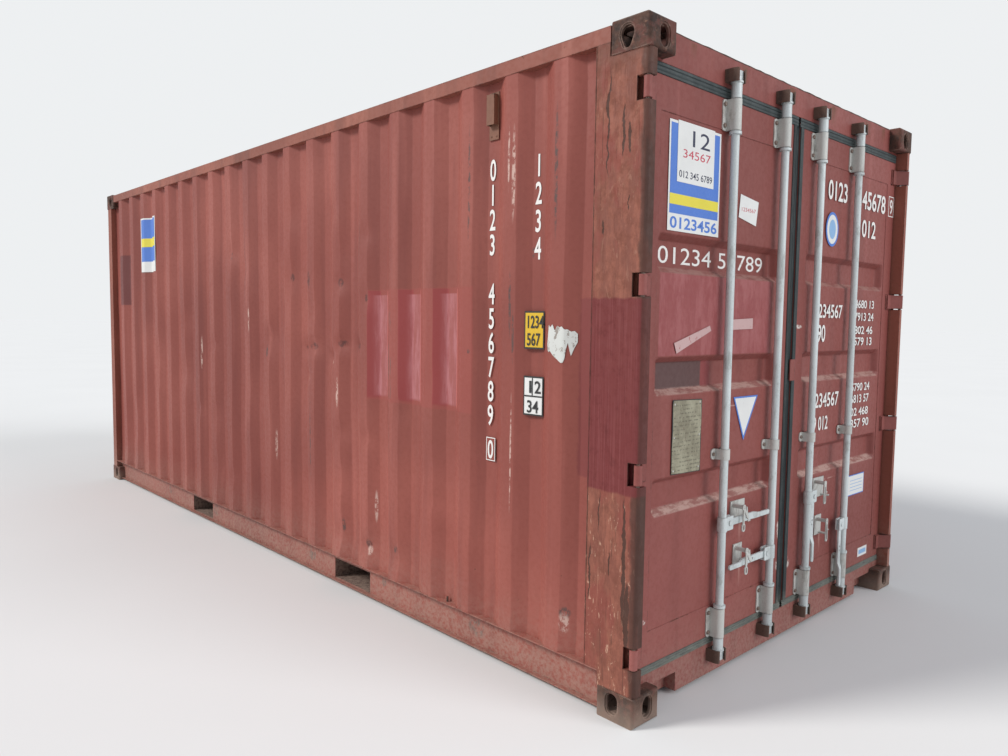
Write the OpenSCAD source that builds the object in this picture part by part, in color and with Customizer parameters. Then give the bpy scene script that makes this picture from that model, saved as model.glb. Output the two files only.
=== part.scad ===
// A 20 ft steel shipping container with corrugated walls and two hinged end doors.
// The origin is on the ground under the middle. +X points to the door end, -Y to the left side
// as seen by someone who faces the doors.

/* [Overall] */
// Outside length over the corner fittings
length = 6058; // [4500:1:9000]
// Outside width over the corner fittings
width = 2438; // [2300:1:2600]
// Outside height over the corner fittings
height = 2591; // [2450:1:2900]

/* [Corner fittings] */
// Length of a corner fitting
fit_l = 178; // [170:1:190]
// Width of a corner fitting
fit_w = 162; // [155:1:170]
// Height of a corner fitting
fit_h = 118; // [112:1:125]
// Rounding of the fitting's edges
fit_round = 13; // [8:1:16]
// Thickness of the plate with the twist-lock slot
fit_plate = 28; // [22:1:32]
// Thickness of the walls with the lashing holes
fit_wall = 16; // [12:1:20]
// Thickness of the closed inner walls
fit_back = 9; // [6:1:12]
// Length of the twist-lock slot
slot_l = 124.5; // [115:0.5:127]
// Width of the twist-lock slot
slot_w = 63.5; // [58:0.5:66]
// Distance from the container's end to the slot's middle
slot_x = 102.5; // [100:0.5:104]
// Distance from the container's side to the slot's middle
slot_y = 89.5; // [86:0.5:92]
// Height of a lashing hole
lash_h = 79.5; // [60:0.5:80]
// How far a lashing hole dips below the face plate's inner face
lash_dip = 4; // [0:0.5:6]
// Width of a lashing hole
lash_w = 51; // [40:0.5:56]
// Radius of the wide end of the hole in a top fitting's side
shield_r = 29; // [26:0.5:32]
// Radius of its narrow end
shield_end = 16; // [12:0.5:20]
// Width of the step round a lashing hole
step_w = 5; // [3:0.5:7]
// Depth of that step
step_d = 5; // [3:0.5:8]

/* [Posts] */
// Setback of the posts and rails behind the fitting faces
setback = 3; // [2:1:6]
// Plate thickness of the posts
post_t = 6; // [4:0.5:8]
// Width of a rear post's side plate
rear_post_l = 238; // [220:1:260]
// Length of the rear post's inner channel
channel_l = 113; // [105:1:120]
// Flange width of the inner channel
channel_w = 40; // [36:1:48]
// Thickness of the inner channel
channel_t = 12; // [8:1:13]
// Bend radius of a post's outer corner
post_round = 20; // [14:1:24]
// Width of a front post's two faces
front_post_l = 105; // [95:1:120]

/* [Rails] */
// Height of the bottom side rail
rail_h = 158; // [148:1:165]
// Height of the rail's underside above the ground
rail_lift = 17; // [12:1:22]
// Width of the rail's top flange
rail_top = 48; // [44:1:56]
// Width of the rail's bottom flange
rail_foot = 30; // [24:1:40]
// Plate thickness of the rail
rail_t = 4.5; // [3:0.5:6]
// Side of the square top rails
top_rail = 60; // [50:1:70]
// Wall of the square top rails
top_rail_t = 3; // [2:0.5:5]
// Gap between the top rails and the plane of the fittings' tops
top_gap = 8; // [6:1:12]
// Depth of the front bottom rail
front_rail_d = 60; // [50:1:80]

/* [Side walls] */
// Sheet thickness of the side walls
wall_t = 2; // [1.6:0.1:3]
// Setback of the outer ridges behind the rail's edge
wall_inset = 2; // [1:0.5:4]
// Depth of the side corrugation
wall_d = 36; // [30:1:40]
// Width of an outer ridge
ridge_w = 72; // [60:1:90]
// Length of a slope along the wall
slope_w = 68; // [50:1:80]
// Width of an inner ridge
inner_w = 70; // [60:1:90]
// Flat sheet between the rear post and the first slope
stub_w = 80; // [60:1:100]

/* [Front wall] */
// Sheet thickness of the front wall
front_t = 2; // [1.6:0.1:3]
// Setback of the front wall's outer ridges behind the post's face
front_inset = 4; // [2:0.5:8]
// Depth of the front corrugation
front_d = 45.6; // [35:0.1:50]
// Width of a front wall's outer ridge
front_ridge = 110; // [90:1:130]
// Width of a front wall's slope
front_slope = 18; // [14:1:30]
// Width of a front wall's inner ridge
front_inner = 104; // [90:1:130]

/* [Roof] */
// Sheet thickness of the roof
roof_t = 2; // [1.6:0.1:3]
// Depth of the roof's troughs
trough_d = 20; // [14:1:24]
// Spacing of the roof's troughs
trough_pitch = 209; // [180:1:260]
// Width of a trough's bottom
trough_w = 91; // [70:1:110]
// Width of a trough's slope
trough_slope = 13.5; // [10:0.5:20]
// Length of the slope at a trough's ends
trough_end = 40; // [25:1:60]
// Width of the rail's top that the roof sheet leaves bare
roof_edge = 8; // [4:1:15]
// Length of the plates beside the top fittings
guard_l = 300; // [200:1:400]
// Width of those plates
guard_w = 200; // [150:1:250]
// Thickness of those plates
guard_t = 3; // [2:0.5:4]
// Flat margin of the roof over each side
roof_margin = 175; // [120:1:220]

/* [Floor] */
// Height of a cross member
beam_h = 122; // [115:1:122]
// Height of the cross members over the rail's underside
beam_lift = 1; // [0:0.5:3]
// Flange width of a cross member
beam_w = 45; // [40:1:60]
// Thickness of a cross member
beam_t = 4; // [3:0.5:6]
// Largest spacing of the cross members
beam_gap = 310; // [280:1:400]
// Gap between the end cross members and the end rails
beam_end = 20; // [15:1:30]
// Thickness of the plywood floor
floor_t = 28; // [21:1:30]
// Width of the steel strips at the floor's edges and middle
strip_w = 50; // [40:1:60]
// Thickness of the steel strips along the floor's edges
strip_t = 2.5; // [1.5:0.5:2.5]
// Thickness of the floor's middle rail
mid_t = 4; // [2:0.5:6]

/* [Fork pockets] */
// Width of a fork pocket
pocket_w = 360; // [340:1:380]
// Height of a fork pocket
pocket_h = 113; // [105:1:113]
// Thickness of the plate over a pocket
pocket_t = 3; // [2:0.5:5]
// Room between a pocket and the next cross member
pocket_side = 60; // [55:1:70]
// Distance between the two pockets' middles
pocket_gap = 2080; // [2000:1:2150]
// Length of the tie plate under each pocket mouth
tie_l = 200; // [150:1:250]
// Thickness of the tie plate
tie_t = 6; // [4:1:8]

/* [Door frame] */
// Setback of the doors behind the fitting faces
recess = 60; // [60:1:66]
// Height of the sill's top
sill_top = 150; // [145:1:160]
// Depth of the sill and header boxes
sill_d = 104; // [95:1:110]
// Plate thickness of sill and header
sill_t = 4.5; // [3:0.5:6]
// Height of the header box
header_h = 123; // [115:1:130]
// Width of the recess cut in each end of the sill
notch_w = 195; // [150:1:220]
// Height of that recess above the sill's underside
notch_h = 80; // [60:1:90]

/* [Doors] */
// Depth of a door leaf
leaf_d = 50; // [44:1:56]
// Gap between a leaf and its post
leaf_side = 10; // [8:1:12]
// Distance from the middle to a leaf's steel edge
leaf_mid = 26; // [22:1:32]
// Gap under a leaf
leaf_under = 28; // [22:1:32]
// Gap over a leaf
leaf_over = 20; // [16:1:26]
// Width of a leaf's upright tubes
stile_w = 100; // [90:1:110]
// Width of a leaf's upper cross tube
upper_w = 150; // [140:1:160]
// Width of a leaf's lower cross tube
lower_w = 140; // [130:1:150]
// Wall of the leaf's tubes
tube_t = 3.2; // [2.5:0.1:5]
// Sheet thickness of the door panels
panel_t = 2; // [1.6:0.1:3]
// Setback of a panel behind the leaf's face
panel_inset = 2; // [1:0.5:4]
// Number of pressed bands in a panel
bands = 3; // [2:1:4]
// Height of a band
band_h = 147; // [120:1:180]
// Spacing of the bands
band_pitch = 470; // [420:1:480]
// Depth of a band
band_d = 36; // [25:1:40]
// Height of a band's slope
band_slope = 24; // [15:1:35]
// Length of the slope at a band's ends
band_end = 34; // [20:1:50]
// Flat margin between a band's ends and the leaf's tubes
band_margin = 4; // [2:1:12]
// Gap between the two door seals
seal_gap = 10; // [9:1:14]
// Clearance of the seals to the frame
seal_clear = 0.5; // [0.3:0.1:1]
// Setback of a seal behind the door's face
seal_inset = 6; // [4:1:10]
// Depth of a seal
seal_d = 38; // [30:1:40]

/* [Hinges] */
// Number of hinges on a door
hinges = 4; // [3:1:5]
// Height of the lowest hinge
hinge_z1 = 263; // [250:1:320]
// Height of the highest hinge below the container's top
hinge_drop = 255; // [250:1:320]
// Distance from the pin to the fitting faces, both ways
pin_in = 17; // [16:0.5:18]
// Radius of a hinge pin
pin_r = 8; // [6:0.5:9]
// Radius of the hinge eye
eye_r = 15; // [13:0.5:15]
// Height of the hinge eye and blade
blade_h = 76; // [60:1:90]
// Thickness of the blade
blade_t = 12; // [8:1:14]
// Gap between the blade's neck and the opening in the post
blade_gap = 5; // [5:0.5:8]
// Reach of the blade past the post
blade_reach = 60; // [50:1:80]
// Height of the opening in the post
cut_h = 110; // [106:1:130]
// Thickness of the two lugs in that opening
lug_t = 12; // [8:1:14]
// Depth of that opening behind the fitting faces
cut_d = 54; // [52:1:58]
// Running clearance round pins
run = 0.4; // [0.3:0.1:0.8]

/* [Lock bars] */
// Distance from the middle to the inner bars
bar_in = 180; // [160:1:200]
// Distance from the middle to the outer bars
bar_out = 600; // [560:1:640]
// Distance from the door's face to a bar's axis
bar_off = 34; // [32:1:36]
// Radius of a bar
bar_r = 17; // [15:0.5:18]
// Wall of a bar
bar_t = 3; // [2:0.5:5]
// Height of the lower cams' middles above the sill's underside
cam_low = 88; // [80:1:95]
// Drop of the upper cams' middles below the header's top
cam_drop = 80; // [70:1:90]
// Gap between a leaf's end and its end brackets
bracket_gap = 5; // [2:1:10]
// Gap between the leaf's top and the upper brackets
bracket_drop = 28; // [20:1:35]
// Height of a cam
cam_h = 44; // [36:1:50]
// Half length of a cam
cam_l = 27; // [25:0.5:27.5]
// Half width of a cam
cam_w = 13; // [11:0.5:14]
// Inner radius of a keeper
keeper_r = 30; // [29.5:0.5:31]
// Wall of a keeper
keeper_t = 7; // [5:0.5:9]
// Half width of a keeper's mouth
mouth_w = 20; // [18:0.5:22]
// Height of a keeper
keeper_h = 52; // [50:1:60]
// Height of the end brackets
bracket_h = 125; // [90:1:130]
// Height of the middle brackets
strap_h = 45; // [30:1:60]
// Height of the middle brackets' middles
strap_z = 966; // [940:1:1000]
// Half width of a bracket's base
bracket_w = 50; // [40:1:60]
// Sheet thickness of a bracket
bracket_t = 5; // [3:0.5:6]
// Rounding of the corners of a bracket's base
bracket_round = 14; // [8:1:20]
// Height of a bar's collar rings
collar_h = 12; // [8:1:14]
// Radius of a collar ring and of the flange on a cam
collar_r = 25; // [22:0.5:25.5]
// Radius of the sleeve between a bracket and its cam
sleeve_r = 21; // [19:0.5:22]
// Thickness of the flange on a cam
flange_t = 6; // [4:0.5:8]
// Gap between a collar ring and its bracket
collar_gap = 3; // [1:0.5:5]

/* [Handles and catches] */
// Height of the upper handles' pivots
hub_hi = 668; // [640:1:700]
// Height of the lower handles' pivots
hub_lo = 472; // [455:1:500]
// Distance from a bar's axis to its handle's pivot
hub_out = 45; // [43:1:50]
// Height of a hub
hub_h = 60; // [50:1:64]
// Reach of a hub's cheeks past the pivot
hub_reach = 25; // [22:1:30]
// Rounding of a cheek's corners
hub_round = 6; // [3:1:9]
// Thickness of the cheek behind a handle
hub_t = 7; // [5:0.5:8]
// Thickness of the cheek in front of it
cheek_t = 6; // [4:0.5:7]
// Gap between the handle and what lies round its end
handle_gap = 1; // [0.5:0.1:1]
// Length of a handle from its pivot
handle_l = 328; // [310:1:332]
// Width of a handle
handle_w = 30; // [24:1:32]
// Distance from a handle's pivot to its grip
grip_from = 240; // [230:1:250]
// Length of the bend before the grip
bend_l = 30; // [24:1:34]
// How far the grip stands off the strip, away from the door
grip_off = 10; // [6:0.5:10]
// Width of the grip
grip_w = 21; // [16:1:24]
// Thickness of a handle
handle_t = 8; // [6:0.5:8]
// Radius of the holes for a padlock
lock_hole = 5; // [4:0.5:7]
// Distance from a handle's pivot to the first of those holes
hole_from = 120; // [115:1:125]
// Distance between them
hole_gap = 22; // [18:1:26]
// Distance from the door's face to the back of a handle's strip
handle_off = 31; // [30:0.5:32]
// Radius of a rivet
rivet_r = 7; // [5:0.5:9]
// Height of a rivet's head, and its width past the rivet
rivet_t = 4; // [2:0.5:5]
// Distance from the upper handles' pivots to their catches
catch_hi = 90; // [80:1:110]
// Distance from the lower handles' pivots to their catches
catch_lo = 205; // [190:1:220]
// Distance from the handle's pivot to the ledge under it
ledge_out = 170; // [165:1:172]
// Width of that ledge
ledge_w = 20; // [14:1:20]
// Thickness of that ledge
ledge_t = 6; // [4:0.5:6]
// Radius of a catch's pin
catch_pin = 5; // [4:0.5:6]
// Radius of the boss behind a catch
catch_boss = 9; // [8:0.5:10]
// Rim of a retainer's base round its pin and ledge
retainer_rim = 18; // [14:1:20]
// Height of a catch's pin over the handle
catch_up = 55; // [50:1:60]
// Gap between a handle and its catch's arm
catch_gap = 5; // [3:0.5:5]
// Width of a catch's arm
catch_w = 12; // [10:1:14]
// Width of the prongs and the shank of a hooked catch
prong_w = 10; // [8:1:11]
// Corner radius where its prongs meet
knee_r = 8; // [7:0.5:10]
// Thickness of a catch
catch_t = 5; // [3:0.5:5]
// Radius of the eye at a catch's pin
catch_eye = 13; // [12:0.5:15]
// Width of a catch's loop
loop_w = 24; // [20:1:28]
// Width of the ring round that loop
loop_t = 6; // [5:0.5:7]
// Length of the slotted catches between their ends' middles
link_l = 94; // [80:1:100]
// Width of the slotted catches
link_w = 22; // [18:1:26]
// Length of the peg on a slotted catch
peg_l = 16; // [10:1:20]

/* [Small parts] */
// Width of a ventilator
vent_w = 60; // [50:1:64]
// Height of a ventilator
vent_h = 200; // [150:1:240]
// Depth of a ventilator
vent_d = 26; // [20:1:30]
// Sheet thickness of a ventilator
vent_t = 2; // [1:0.5:3]
// Rim of a ventilator's base plate
vent_rim = 6; // [4:1:9]
// Height of the opening under the hood, as a share of the ventilator's height
vent_open = 0.3; // [0.2:0.05:0.4]
// Gap between a ventilator and the top rail
vent_gap = 38; // [20:1:60]
// Distance from the door end to the left ventilator's middle
vent_x = 850; // [800:1:900]
// Distance from the door end to the door hold-back pegs
hook_x = 1086; // [1000:1:1150]
// Radius of a hold-back peg
hook_r = 5; // [4:0.5:8]
// Height of a hold-back peg
hook_h = 24; // [15:1:40]
// Height of the middle of the lap plate at the door joint
lap_z = 1296; // [1250:1:1350]
// Distance of the lap plate from the middle
lap_in = 1; // [0.5:0.5:3]
// Height of the lap plate
lap_h = 100; // [80:1:120]
// Width of the lap plate
lap_w = 45; // [35:1:60]
// Thickness of the lap plate
lap_t = 6; // [4:0.5:8]

/* [Hidden] */
$fn = 48;

eps = 1;
hl = length / 2;
hw = width / 2;
face_x = hl - setback;
face_y = hw - setback;
door_x = hl - recess;

// Inner faces of the posts at the door opening
channel_y = face_y - post_t - channel_w;
rear_post_x = face_x - rear_post_l;
front_post_x = -face_x + front_post_l;

// Levels
rail_top_z = rail_lift + rail_h;
top_z = height - top_gap;
top_rail_z = top_z - top_rail;
header_top = height - top_gap + roof_t;
header_z = header_top - header_h;
beam_z = rail_lift + beam_lift + beam_h;
floor_top = beam_z + floor_t;
pocket_z2 = beam_z - pocket_t;
pocket_z1 = pocket_z2 - pocket_h;

// Side wall planes, measured from the middle
wall_out = face_y - wall_inset;
wall_in = wall_out - wall_d;
wall_pitch = ridge_w + inner_w + 2 * slope_w;
wall_len = rear_post_x - front_post_x;
ridges = floor((wall_len - stub_w - inner_w / 2) / wall_pitch);

// Places of the cross members: an even row in each of the three spaces between the pockets
pocket_out = pocket_gap / 2 + pocket_w / 2 + pocket_side;
pocket_inn = pocket_gap / 2 - pocket_w / 2 - pocket_side;
zones = [
    [-face_x + front_rail_d + beam_end, -pocket_out],
    [-pocket_inn, pocket_inn],
    [pocket_out, door_x - sill_d - beam_end]
];
beam_xs = [for (zone = zones)
    let (l = zone[1] - zone[0] - beam_w, n = ceil(l / beam_gap))
    each [for (i = [0 : n]) zone[0] + i * l / n]];

// Front wall
front_half = face_y - front_post_l;
front_pitch = front_ridge + front_inner + 2 * front_slope;
front_ridges = floor((2 * front_half - front_inner) / front_pitch);
front_out = -face_x + front_inset;

// Door leaves
leaf_out = channel_y - leaf_side;
leaf_z1 = sill_top + leaf_under;
leaf_z2 = header_z - leaf_over;
panel_z1 = leaf_z1 + lower_w;
panel_z2 = leaf_z2 - upper_w;
panel_x = door_x - panel_inset;

// Hinges
pin_x = hl - pin_in;
pin_y = hw - pin_in;
hinge_z2 = height - hinge_drop;
hinge_zs = [for (i = [0 : hinges - 1]) hinge_z1 + i * (hinge_z2 - hinge_z1) / (hinges - 1)];

// Lock gear: bar places, pivot levels and the way each handle points
bar_x = door_x + bar_off;
bar_ys = [-bar_out, -bar_in, bar_in, bar_out];
hub_zs = [hub_hi, hub_lo, hub_hi, hub_lo];
ways = [1, -1, 1, -1];
catch_outs = [catch_hi, catch_lo, catch_hi, catch_lo];
cam_z1 = rail_lift + cam_low;
cam_z2 = header_top - cam_drop;
bracket_z1 = leaf_z1 + bracket_gap;
bracket_z2 = leaf_z2 - bracket_drop;
handle_x = door_x + handle_off;
catch_x = handle_x + handle_t + grip_off + catch_gap;

steel = "firebrick";
zinc = "silver";

module corner(sx, sy, sz) {
    translate([sx * hl, sy * hw, sz > 0 ? height : 0])
        mirror([sx > 0 ? 1 : 0, 0, 0])
            mirror([0, sy > 0 ? 1 : 0, 0])
                mirror([0, 0, sz > 0 ? 1 : 0])
                    children();
}

module right_side() {
    mirror([0, 1, 0]) children();
}

module block(a, b) {
    translate(a) cube([b[0] - a[0], b[1] - a[1], b[2] - a[2]]);
}

module round_rect(a, b, r) {
    translate([r, 0]) square([a - 2 * r, b]);
    translate([0, r]) square([a, b - 2 * r]);
    for (x = [r, a - r], y = [r, b - r]) translate([x, y]) circle(r);
}

module slot(l, w) {
    square([l - w, w], center = true);
    for (s = [-1, 1]) translate([s * (l - w) / 2, 0]) circle(w / 2);
}

// Two circles of different size joined by their common tangents, l long in all along X
module shield(l, r1, r2) {
    x1 = r1 - l / 2;
    x2 = l / 2 - r2;
    a = acos((r1 - r2) / (x2 - x1));
    translate([x1, 0]) circle(r1);
    translate([x2, 0]) circle(r2);
    polygon([[x1, 0], [x1 + r1 * cos(a), r1 * sin(a)], [x2 + r2 * cos(a), r2 * sin(a)],
        [x2 + r2 * cos(a), -r2 * sin(a)], [x1 + r1 * cos(a), -r1 * sin(a)]]);
}

// A plain bar from a to b, w wide
module arm(a, b, w) {
    d = b - a;
    translate(a) rotate(atan2(d[1], d[0])) translate([0, -w / 2]) square([norm(d), w]);
}

// A strip with round ends from one point to another
module strip(a, b, w) {
    arm(a, b, w);
    for (p = [a, b]) translate(p) circle(w / 2);
}

// The room of a pressed hollow, its mouth at z = 0 and l by w, with sloped ends and sides
module pressing(l, w, d, end, side) {
    intersection() {
        rotate([90, 0, 0]) linear_extrude(w, center = true)
            polygon([[-l / 2, eps], [-l / 2, 0], [end - l / 2, -d], [l / 2 - end, -d], [l / 2, 0],
                [l / 2, eps]]);
        rotate([90, 0, 90]) linear_extrude(l, center = true)
            polygon([[-w / 2, eps], [-w / 2, 0], [side - w / 2, -d], [w / 2 - side, -d], [w / 2, 0],
                [w / 2, eps]]);
    }
}

// A lashing hole's outline, wider by grow all round
module side_hole(shielded, grow) {
    if (shielded) shield(lash_h + 2 * grow, shield_r + grow, shield_end + grow);
    else slot(lash_h + 2 * grow, lash_w + 2 * grow);
}

// One corner fitting, with its outer corner at the origin and its slot facing down
module fitting(shielded) {
    mid_z = fit_plate + lash_h / 2 - lash_dip;
    difference() {
        intersection() {
            linear_extrude(fit_h) round_rect(fit_l, fit_w, fit_round);
            translate([0, fit_w, 0]) rotate([90, 0, 0])
                linear_extrude(fit_w) round_rect(fit_l, fit_h, fit_round);
        }
        block([fit_wall, fit_wall, fit_plate], [fit_l - fit_back, fit_w - fit_back, fit_h - fit_back]);
        translate([slot_x, slot_y, -eps]) linear_extrude(fit_plate + 2 * eps) slot(slot_l, slot_w);
        translate([slot_x, fit_wall + eps, mid_z]) rotate([90, -90, 0])
            linear_extrude(fit_wall + 2 * eps) side_hole(shielded, 0);
        translate([slot_x, step_d, mid_z]) rotate([90, -90, 0])
            linear_extrude(step_d + eps) side_hole(shielded, step_w);
        translate([-eps, slot_y, mid_z]) rotate([0, 90, 0])
            linear_extrude(fit_wall + 2 * eps) side_hole(false, 0);
        translate([-eps, slot_y, mid_z]) rotate([0, 90, 0])
            linear_extrude(step_d + eps) side_hole(false, step_w);
    }
}

// The room that the fittings take, cut from plates that run past them
module fitting_space() {
    for (sx = [-1, 1], sy = [-1, 1], sz = [-1, 1])
        corner(sx, sy, sz) block([-eps, -eps, -eps], [fit_l, fit_w, fit_h]);
}

module bottom_corner_fittings() {
    color("saddlebrown") for (sx = [-1, 1], sy = [-1, 1]) corner(sx, sy, -1) fitting(false);
}

module top_corner_fittings() {
    color("saddlebrown") for (sx = [-1, 1], sy = [-1, 1]) corner(sx, sy, 1) fitting(true);
}

// Two hollow arms of folded plate, which reach in as far as the side and front walls do
module front_post() {
    side_arm = wall_inset + wall_d + wall_t + post_t;
    front_arm = front_inset + front_d + front_t + post_t;
    translate([0, 0, fit_h]) linear_extrude(height - 2 * fit_h) difference() {
        union() {
            translate([-face_x, -face_y]) square([front_post_l, side_arm]);
            translate([-face_x, -face_y]) square([front_arm, front_post_l]);
        }
        translate([-face_x + post_t, -face_y + post_t])
            square([front_post_l - 2 * post_t, side_arm - 2 * post_t]);
        translate([-face_x + post_t, -face_y + post_t])
            square([front_arm - 2 * post_t, front_post_l - 2 * post_t]);
        difference() {
            translate([-face_x - eps, -face_y - eps]) square(post_round + eps);
            translate([-face_x + post_round, -face_y + post_round]) circle(post_round);
        }
    }
}

module front_post_left() {
    color(steel) front_post();
}

module front_post_right() {
    color(steel) right_side() front_post();
}

// Side plate with a rounded rear corner, and a channel that closes it to a box
module rear_post_section() {
    difference() {
        translate([face_x - channel_l, -face_y]) square([channel_l, post_t + channel_w]);
        translate([face_x - channel_l + channel_t, -face_y + post_t])
            square([channel_l - 2 * channel_t, channel_w - channel_t]);
        difference() {
            translate([face_x - post_round, -face_y - eps]) square(post_round + eps);
            translate([face_x - post_round, -face_y + post_round]) circle(post_round);
        }
    }
    translate([rear_post_x, -face_y]) square([rear_post_l - channel_l, post_t]);
    translate([rear_post_x, -face_y]) square([post_t, wall_d + wall_inset + wall_t]);
}

// The post stands between the fittings, and its front strip between the two side rails
module rear_post() {
    difference() {
        translate([0, 0, fit_h]) linear_extrude(top_rail_z - fit_h) rear_post_section();
        fitting_space();
        block([rear_post_x - eps, -hw - eps, 0], [hl - fit_l, 0, rail_top_z]);
        block([hl - fit_l - eps, -hw, height - fit_h], [hl, 0, height]);
        for (z = hinge_zs)
            block([hl - cut_d, -hw - eps, z - cut_h / 2], [hl + eps, -channel_y + eps, z + cut_h / 2]);
    }
    for (z = hinge_zs, s = [-1, 1]) translate([0, 0, z + s * (cut_h - lug_t) / 2]) hinge_lug();
}

// A lug fills the post's section at one end of a hinge opening, with a hole for the pin
module hinge_lug() {
    difference() {
        translate([0, 0, -lug_t / 2]) linear_extrude(lug_t) difference() {
            translate([hl - cut_d, -face_y]) square([cut_d - setback, post_t + channel_w]);
            difference() {
                translate([face_x - post_round, -face_y - eps]) square(post_round + eps);
                translate([face_x - post_round, -face_y + post_round]) circle(post_round);
            }
        }
        translate([pin_x, -pin_y, 0]) cylinder(r = pin_r, h = lug_t + 2 * eps, center = true);
    }
}

module rear_post_left() {
    color("peru") rear_post();
}

module rear_post_right() {
    color("peru") right_side() rear_post();
}

// A channel that opens outwards, cut away over the fork pockets
module bottom_side_rail() {
    run_l = hl - fit_l;
    web_y = -face_y + rail_top;
    difference() {
        union() {
            block([front_post_x, -face_y, rail_top_z - rail_t], [run_l, web_y, rail_top_z]);
            block([front_post_x, web_y - rail_t, rail_lift], [run_l, web_y, rail_top_z]);
            block([-run_l, web_y - rail_foot, rail_lift], [run_l, web_y, rail_lift + rail_t]);
        }
        fitting_space();
        for (s = [-1, 1]) translate([s * pocket_gap / 2 - pocket_w / 2, -hw, pocket_z1])
            cube([pocket_w, hw, pocket_h]);
    }
}

module bottom_side_rail_left() {
    color(steel) bottom_side_rail();
}

module bottom_side_rail_right() {
    color(steel) right_side() bottom_side_rail();
}

module square_tube(a, b, t, axis) {
    difference() {
        block(a, b);
        c = [for (i = [0 : 2]) i == axis ? a[i] - eps : a[i] + t];
        d = [for (i = [0 : 2]) i == axis ? b[i] + eps : b[i] - t];
        block(c, d);
    }
}

module top_side_rail() {
    run_l = hl - fit_l;
    square_tube([-run_l, -face_y, top_rail_z], [run_l, -face_y + top_rail, top_z], top_rail_t, 0);
}

module top_side_rail_left() {
    color(steel) top_side_rail();
}

module top_side_rail_right() {
    color(steel) right_side() top_side_rail();
}

module front_bottom_rail() {
    color(steel) difference() {
        square_tube([-face_x, -front_half, rail_lift], [-face_x + front_rail_d, front_half, rail_top_z],
            rail_t, 1);
        fitting_space();
    }
}

module front_top_rail() {
    half = hw - fit_w;
    color(steel) square_tube([-face_x, -half, top_rail_z], [-face_x + top_rail, half, top_z],
        top_rail_t, 1);
}

module door_sill() {
    color(steel) difference() {
        square_tube([door_x - sill_d, -channel_y, rail_lift], [door_x, channel_y, sill_top], sill_t, 1);
        fitting_space();
        for (s = [-1, 1]) mirror([0, s > 0 ? 1 : 0, 0])
            block([door_x - sill_d / 2, -hw + fit_w - eps, 0],
                [door_x + eps, -hw + fit_w + notch_w, rail_lift + notch_h]);
    }
    color(steel) for (s = [-1, 1]) mirror([0, s > 0 ? 1 : 0, 0]) {
        block([door_x - sill_d / 2, -hw + fit_w, rail_lift + notch_h],
            [door_x, -hw + fit_w + notch_w + sill_t, rail_lift + notch_h + sill_t]);
        block([door_x - sill_d / 2, -hw + fit_w + notch_w, rail_lift],
            [door_x, -hw + fit_w + notch_w + sill_t, rail_lift + notch_h]);
        block([door_x - sill_d / 2 - sill_t, -hw + fit_w, rail_lift],
            [door_x - sill_d / 2, -hw + fit_w + notch_w + sill_t, rail_lift + notch_h + sill_t]);
    }
}

module door_header() {
    color(steel) difference() {
        square_tube([door_x - sill_d, -channel_y, header_z], [door_x, channel_y, header_top], sill_t, 1);
        fitting_space();
    }
}

// Corners of one side wall's outer line, from the rear post to the front post
function wall_line() = concat(
    [[rear_post_x, wall_in]],
    [for (k = [0 : ridges - 1])
        let (e = rear_post_x - stub_w - slope_w - k * wall_pitch)
        each [[e + slope_w, wall_in], [e, wall_out], [e - ridge_w, wall_out],
            [e - ridge_w - slope_w, wall_in]]],
    [[front_post_x, wall_in]]
);

function reversed(line) = [for (i = [len(line) - 1 : -1 : 0]) line[i]];

function thickened(line, t) = concat(line, [for (p = reversed(line)) [p[0], p[1] - t]]);

module side_wall() {
    difference() {
        translate([0, 0, rail_top_z]) linear_extrude(top_rail_z - rail_top_z)
            mirror([0, 1]) polygon(thickened(wall_line(), wall_t));
        fitting_space();
    }
}

module side_wall_left() {
    color("indianred") side_wall();
}

module side_wall_right() {
    color("indianred") right_side() side_wall();
}

// Corners of the front wall's outer line, as distance from the front and place across
function front_line() =
    let (first = -front_ridges * front_pitch / 2 + front_inner / 2)
    concat(
        [[front_d, -front_half]],
        [for (k = [0 : front_ridges - 1])
            let (e = first + k * front_pitch)
            each [[front_d, e], [0, e + front_slope], [0, e + front_slope + front_ridge],
                [front_d, e + 2 * front_slope + front_ridge]]],
        [[front_d, front_half]]
    );

module front_wall() {
    line = front_line();
    color("indianred") difference() {
        translate([front_out, 0, rail_top_z]) linear_extrude(top_rail_z - rail_top_z)
            polygon(concat(line, [for (p = reversed(line)) [p[0] + front_t, p[1]]]));
        fitting_space();
    }
}

// Roof sheet: pressed troughs run across, with sloped ends and a flat margin along each side
module roof_panel() {
    x1 = -face_x + front_inset;
    x2 = door_x - sill_d;
    z = top_z + roof_t;
    count = floor((x2 - x1) / trough_pitch);
    foot = trough_w + 2 * trough_slope;
    xs = [for (k = [0 : count - 1]) (x1 + x2) / 2 + (k - (count - 1) / 2) * trough_pitch];
    color("indianred") difference() {
        union() {
            block([x1, -face_y + roof_edge, top_z], [x2, face_y - roof_edge, z]);
            for (x = xs) translate([x, 0, top_z])
                pressing(foot, 2 * (hw - roof_margin), trough_d, trough_slope, trough_end);
        }
        for (x = xs) translate([x, 0, z])
            pressing(foot, 2 * (hw - roof_margin), trough_d, trough_slope, trough_end);
        fitting_space();
    }
}

// Thicker plates that protect the roof beside the top fittings
module roof_corner_plates() {
    z = top_z + roof_t;
    color(steel) difference() {
        for (sx = [-1, 1], sy = [-1, 1]) {
            x1 = sx > 0 ? door_x - sill_d - guard_l : -face_x + top_rail;
            block([x1, sy > 0 ? hw - fit_w - guard_w : -hw + fit_w, z],
                [x1 + guard_l, sy > 0 ? hw - fit_w : -hw + fit_w + guard_w, z + guard_t]);
        }
        fitting_space();
    }
}

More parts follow.
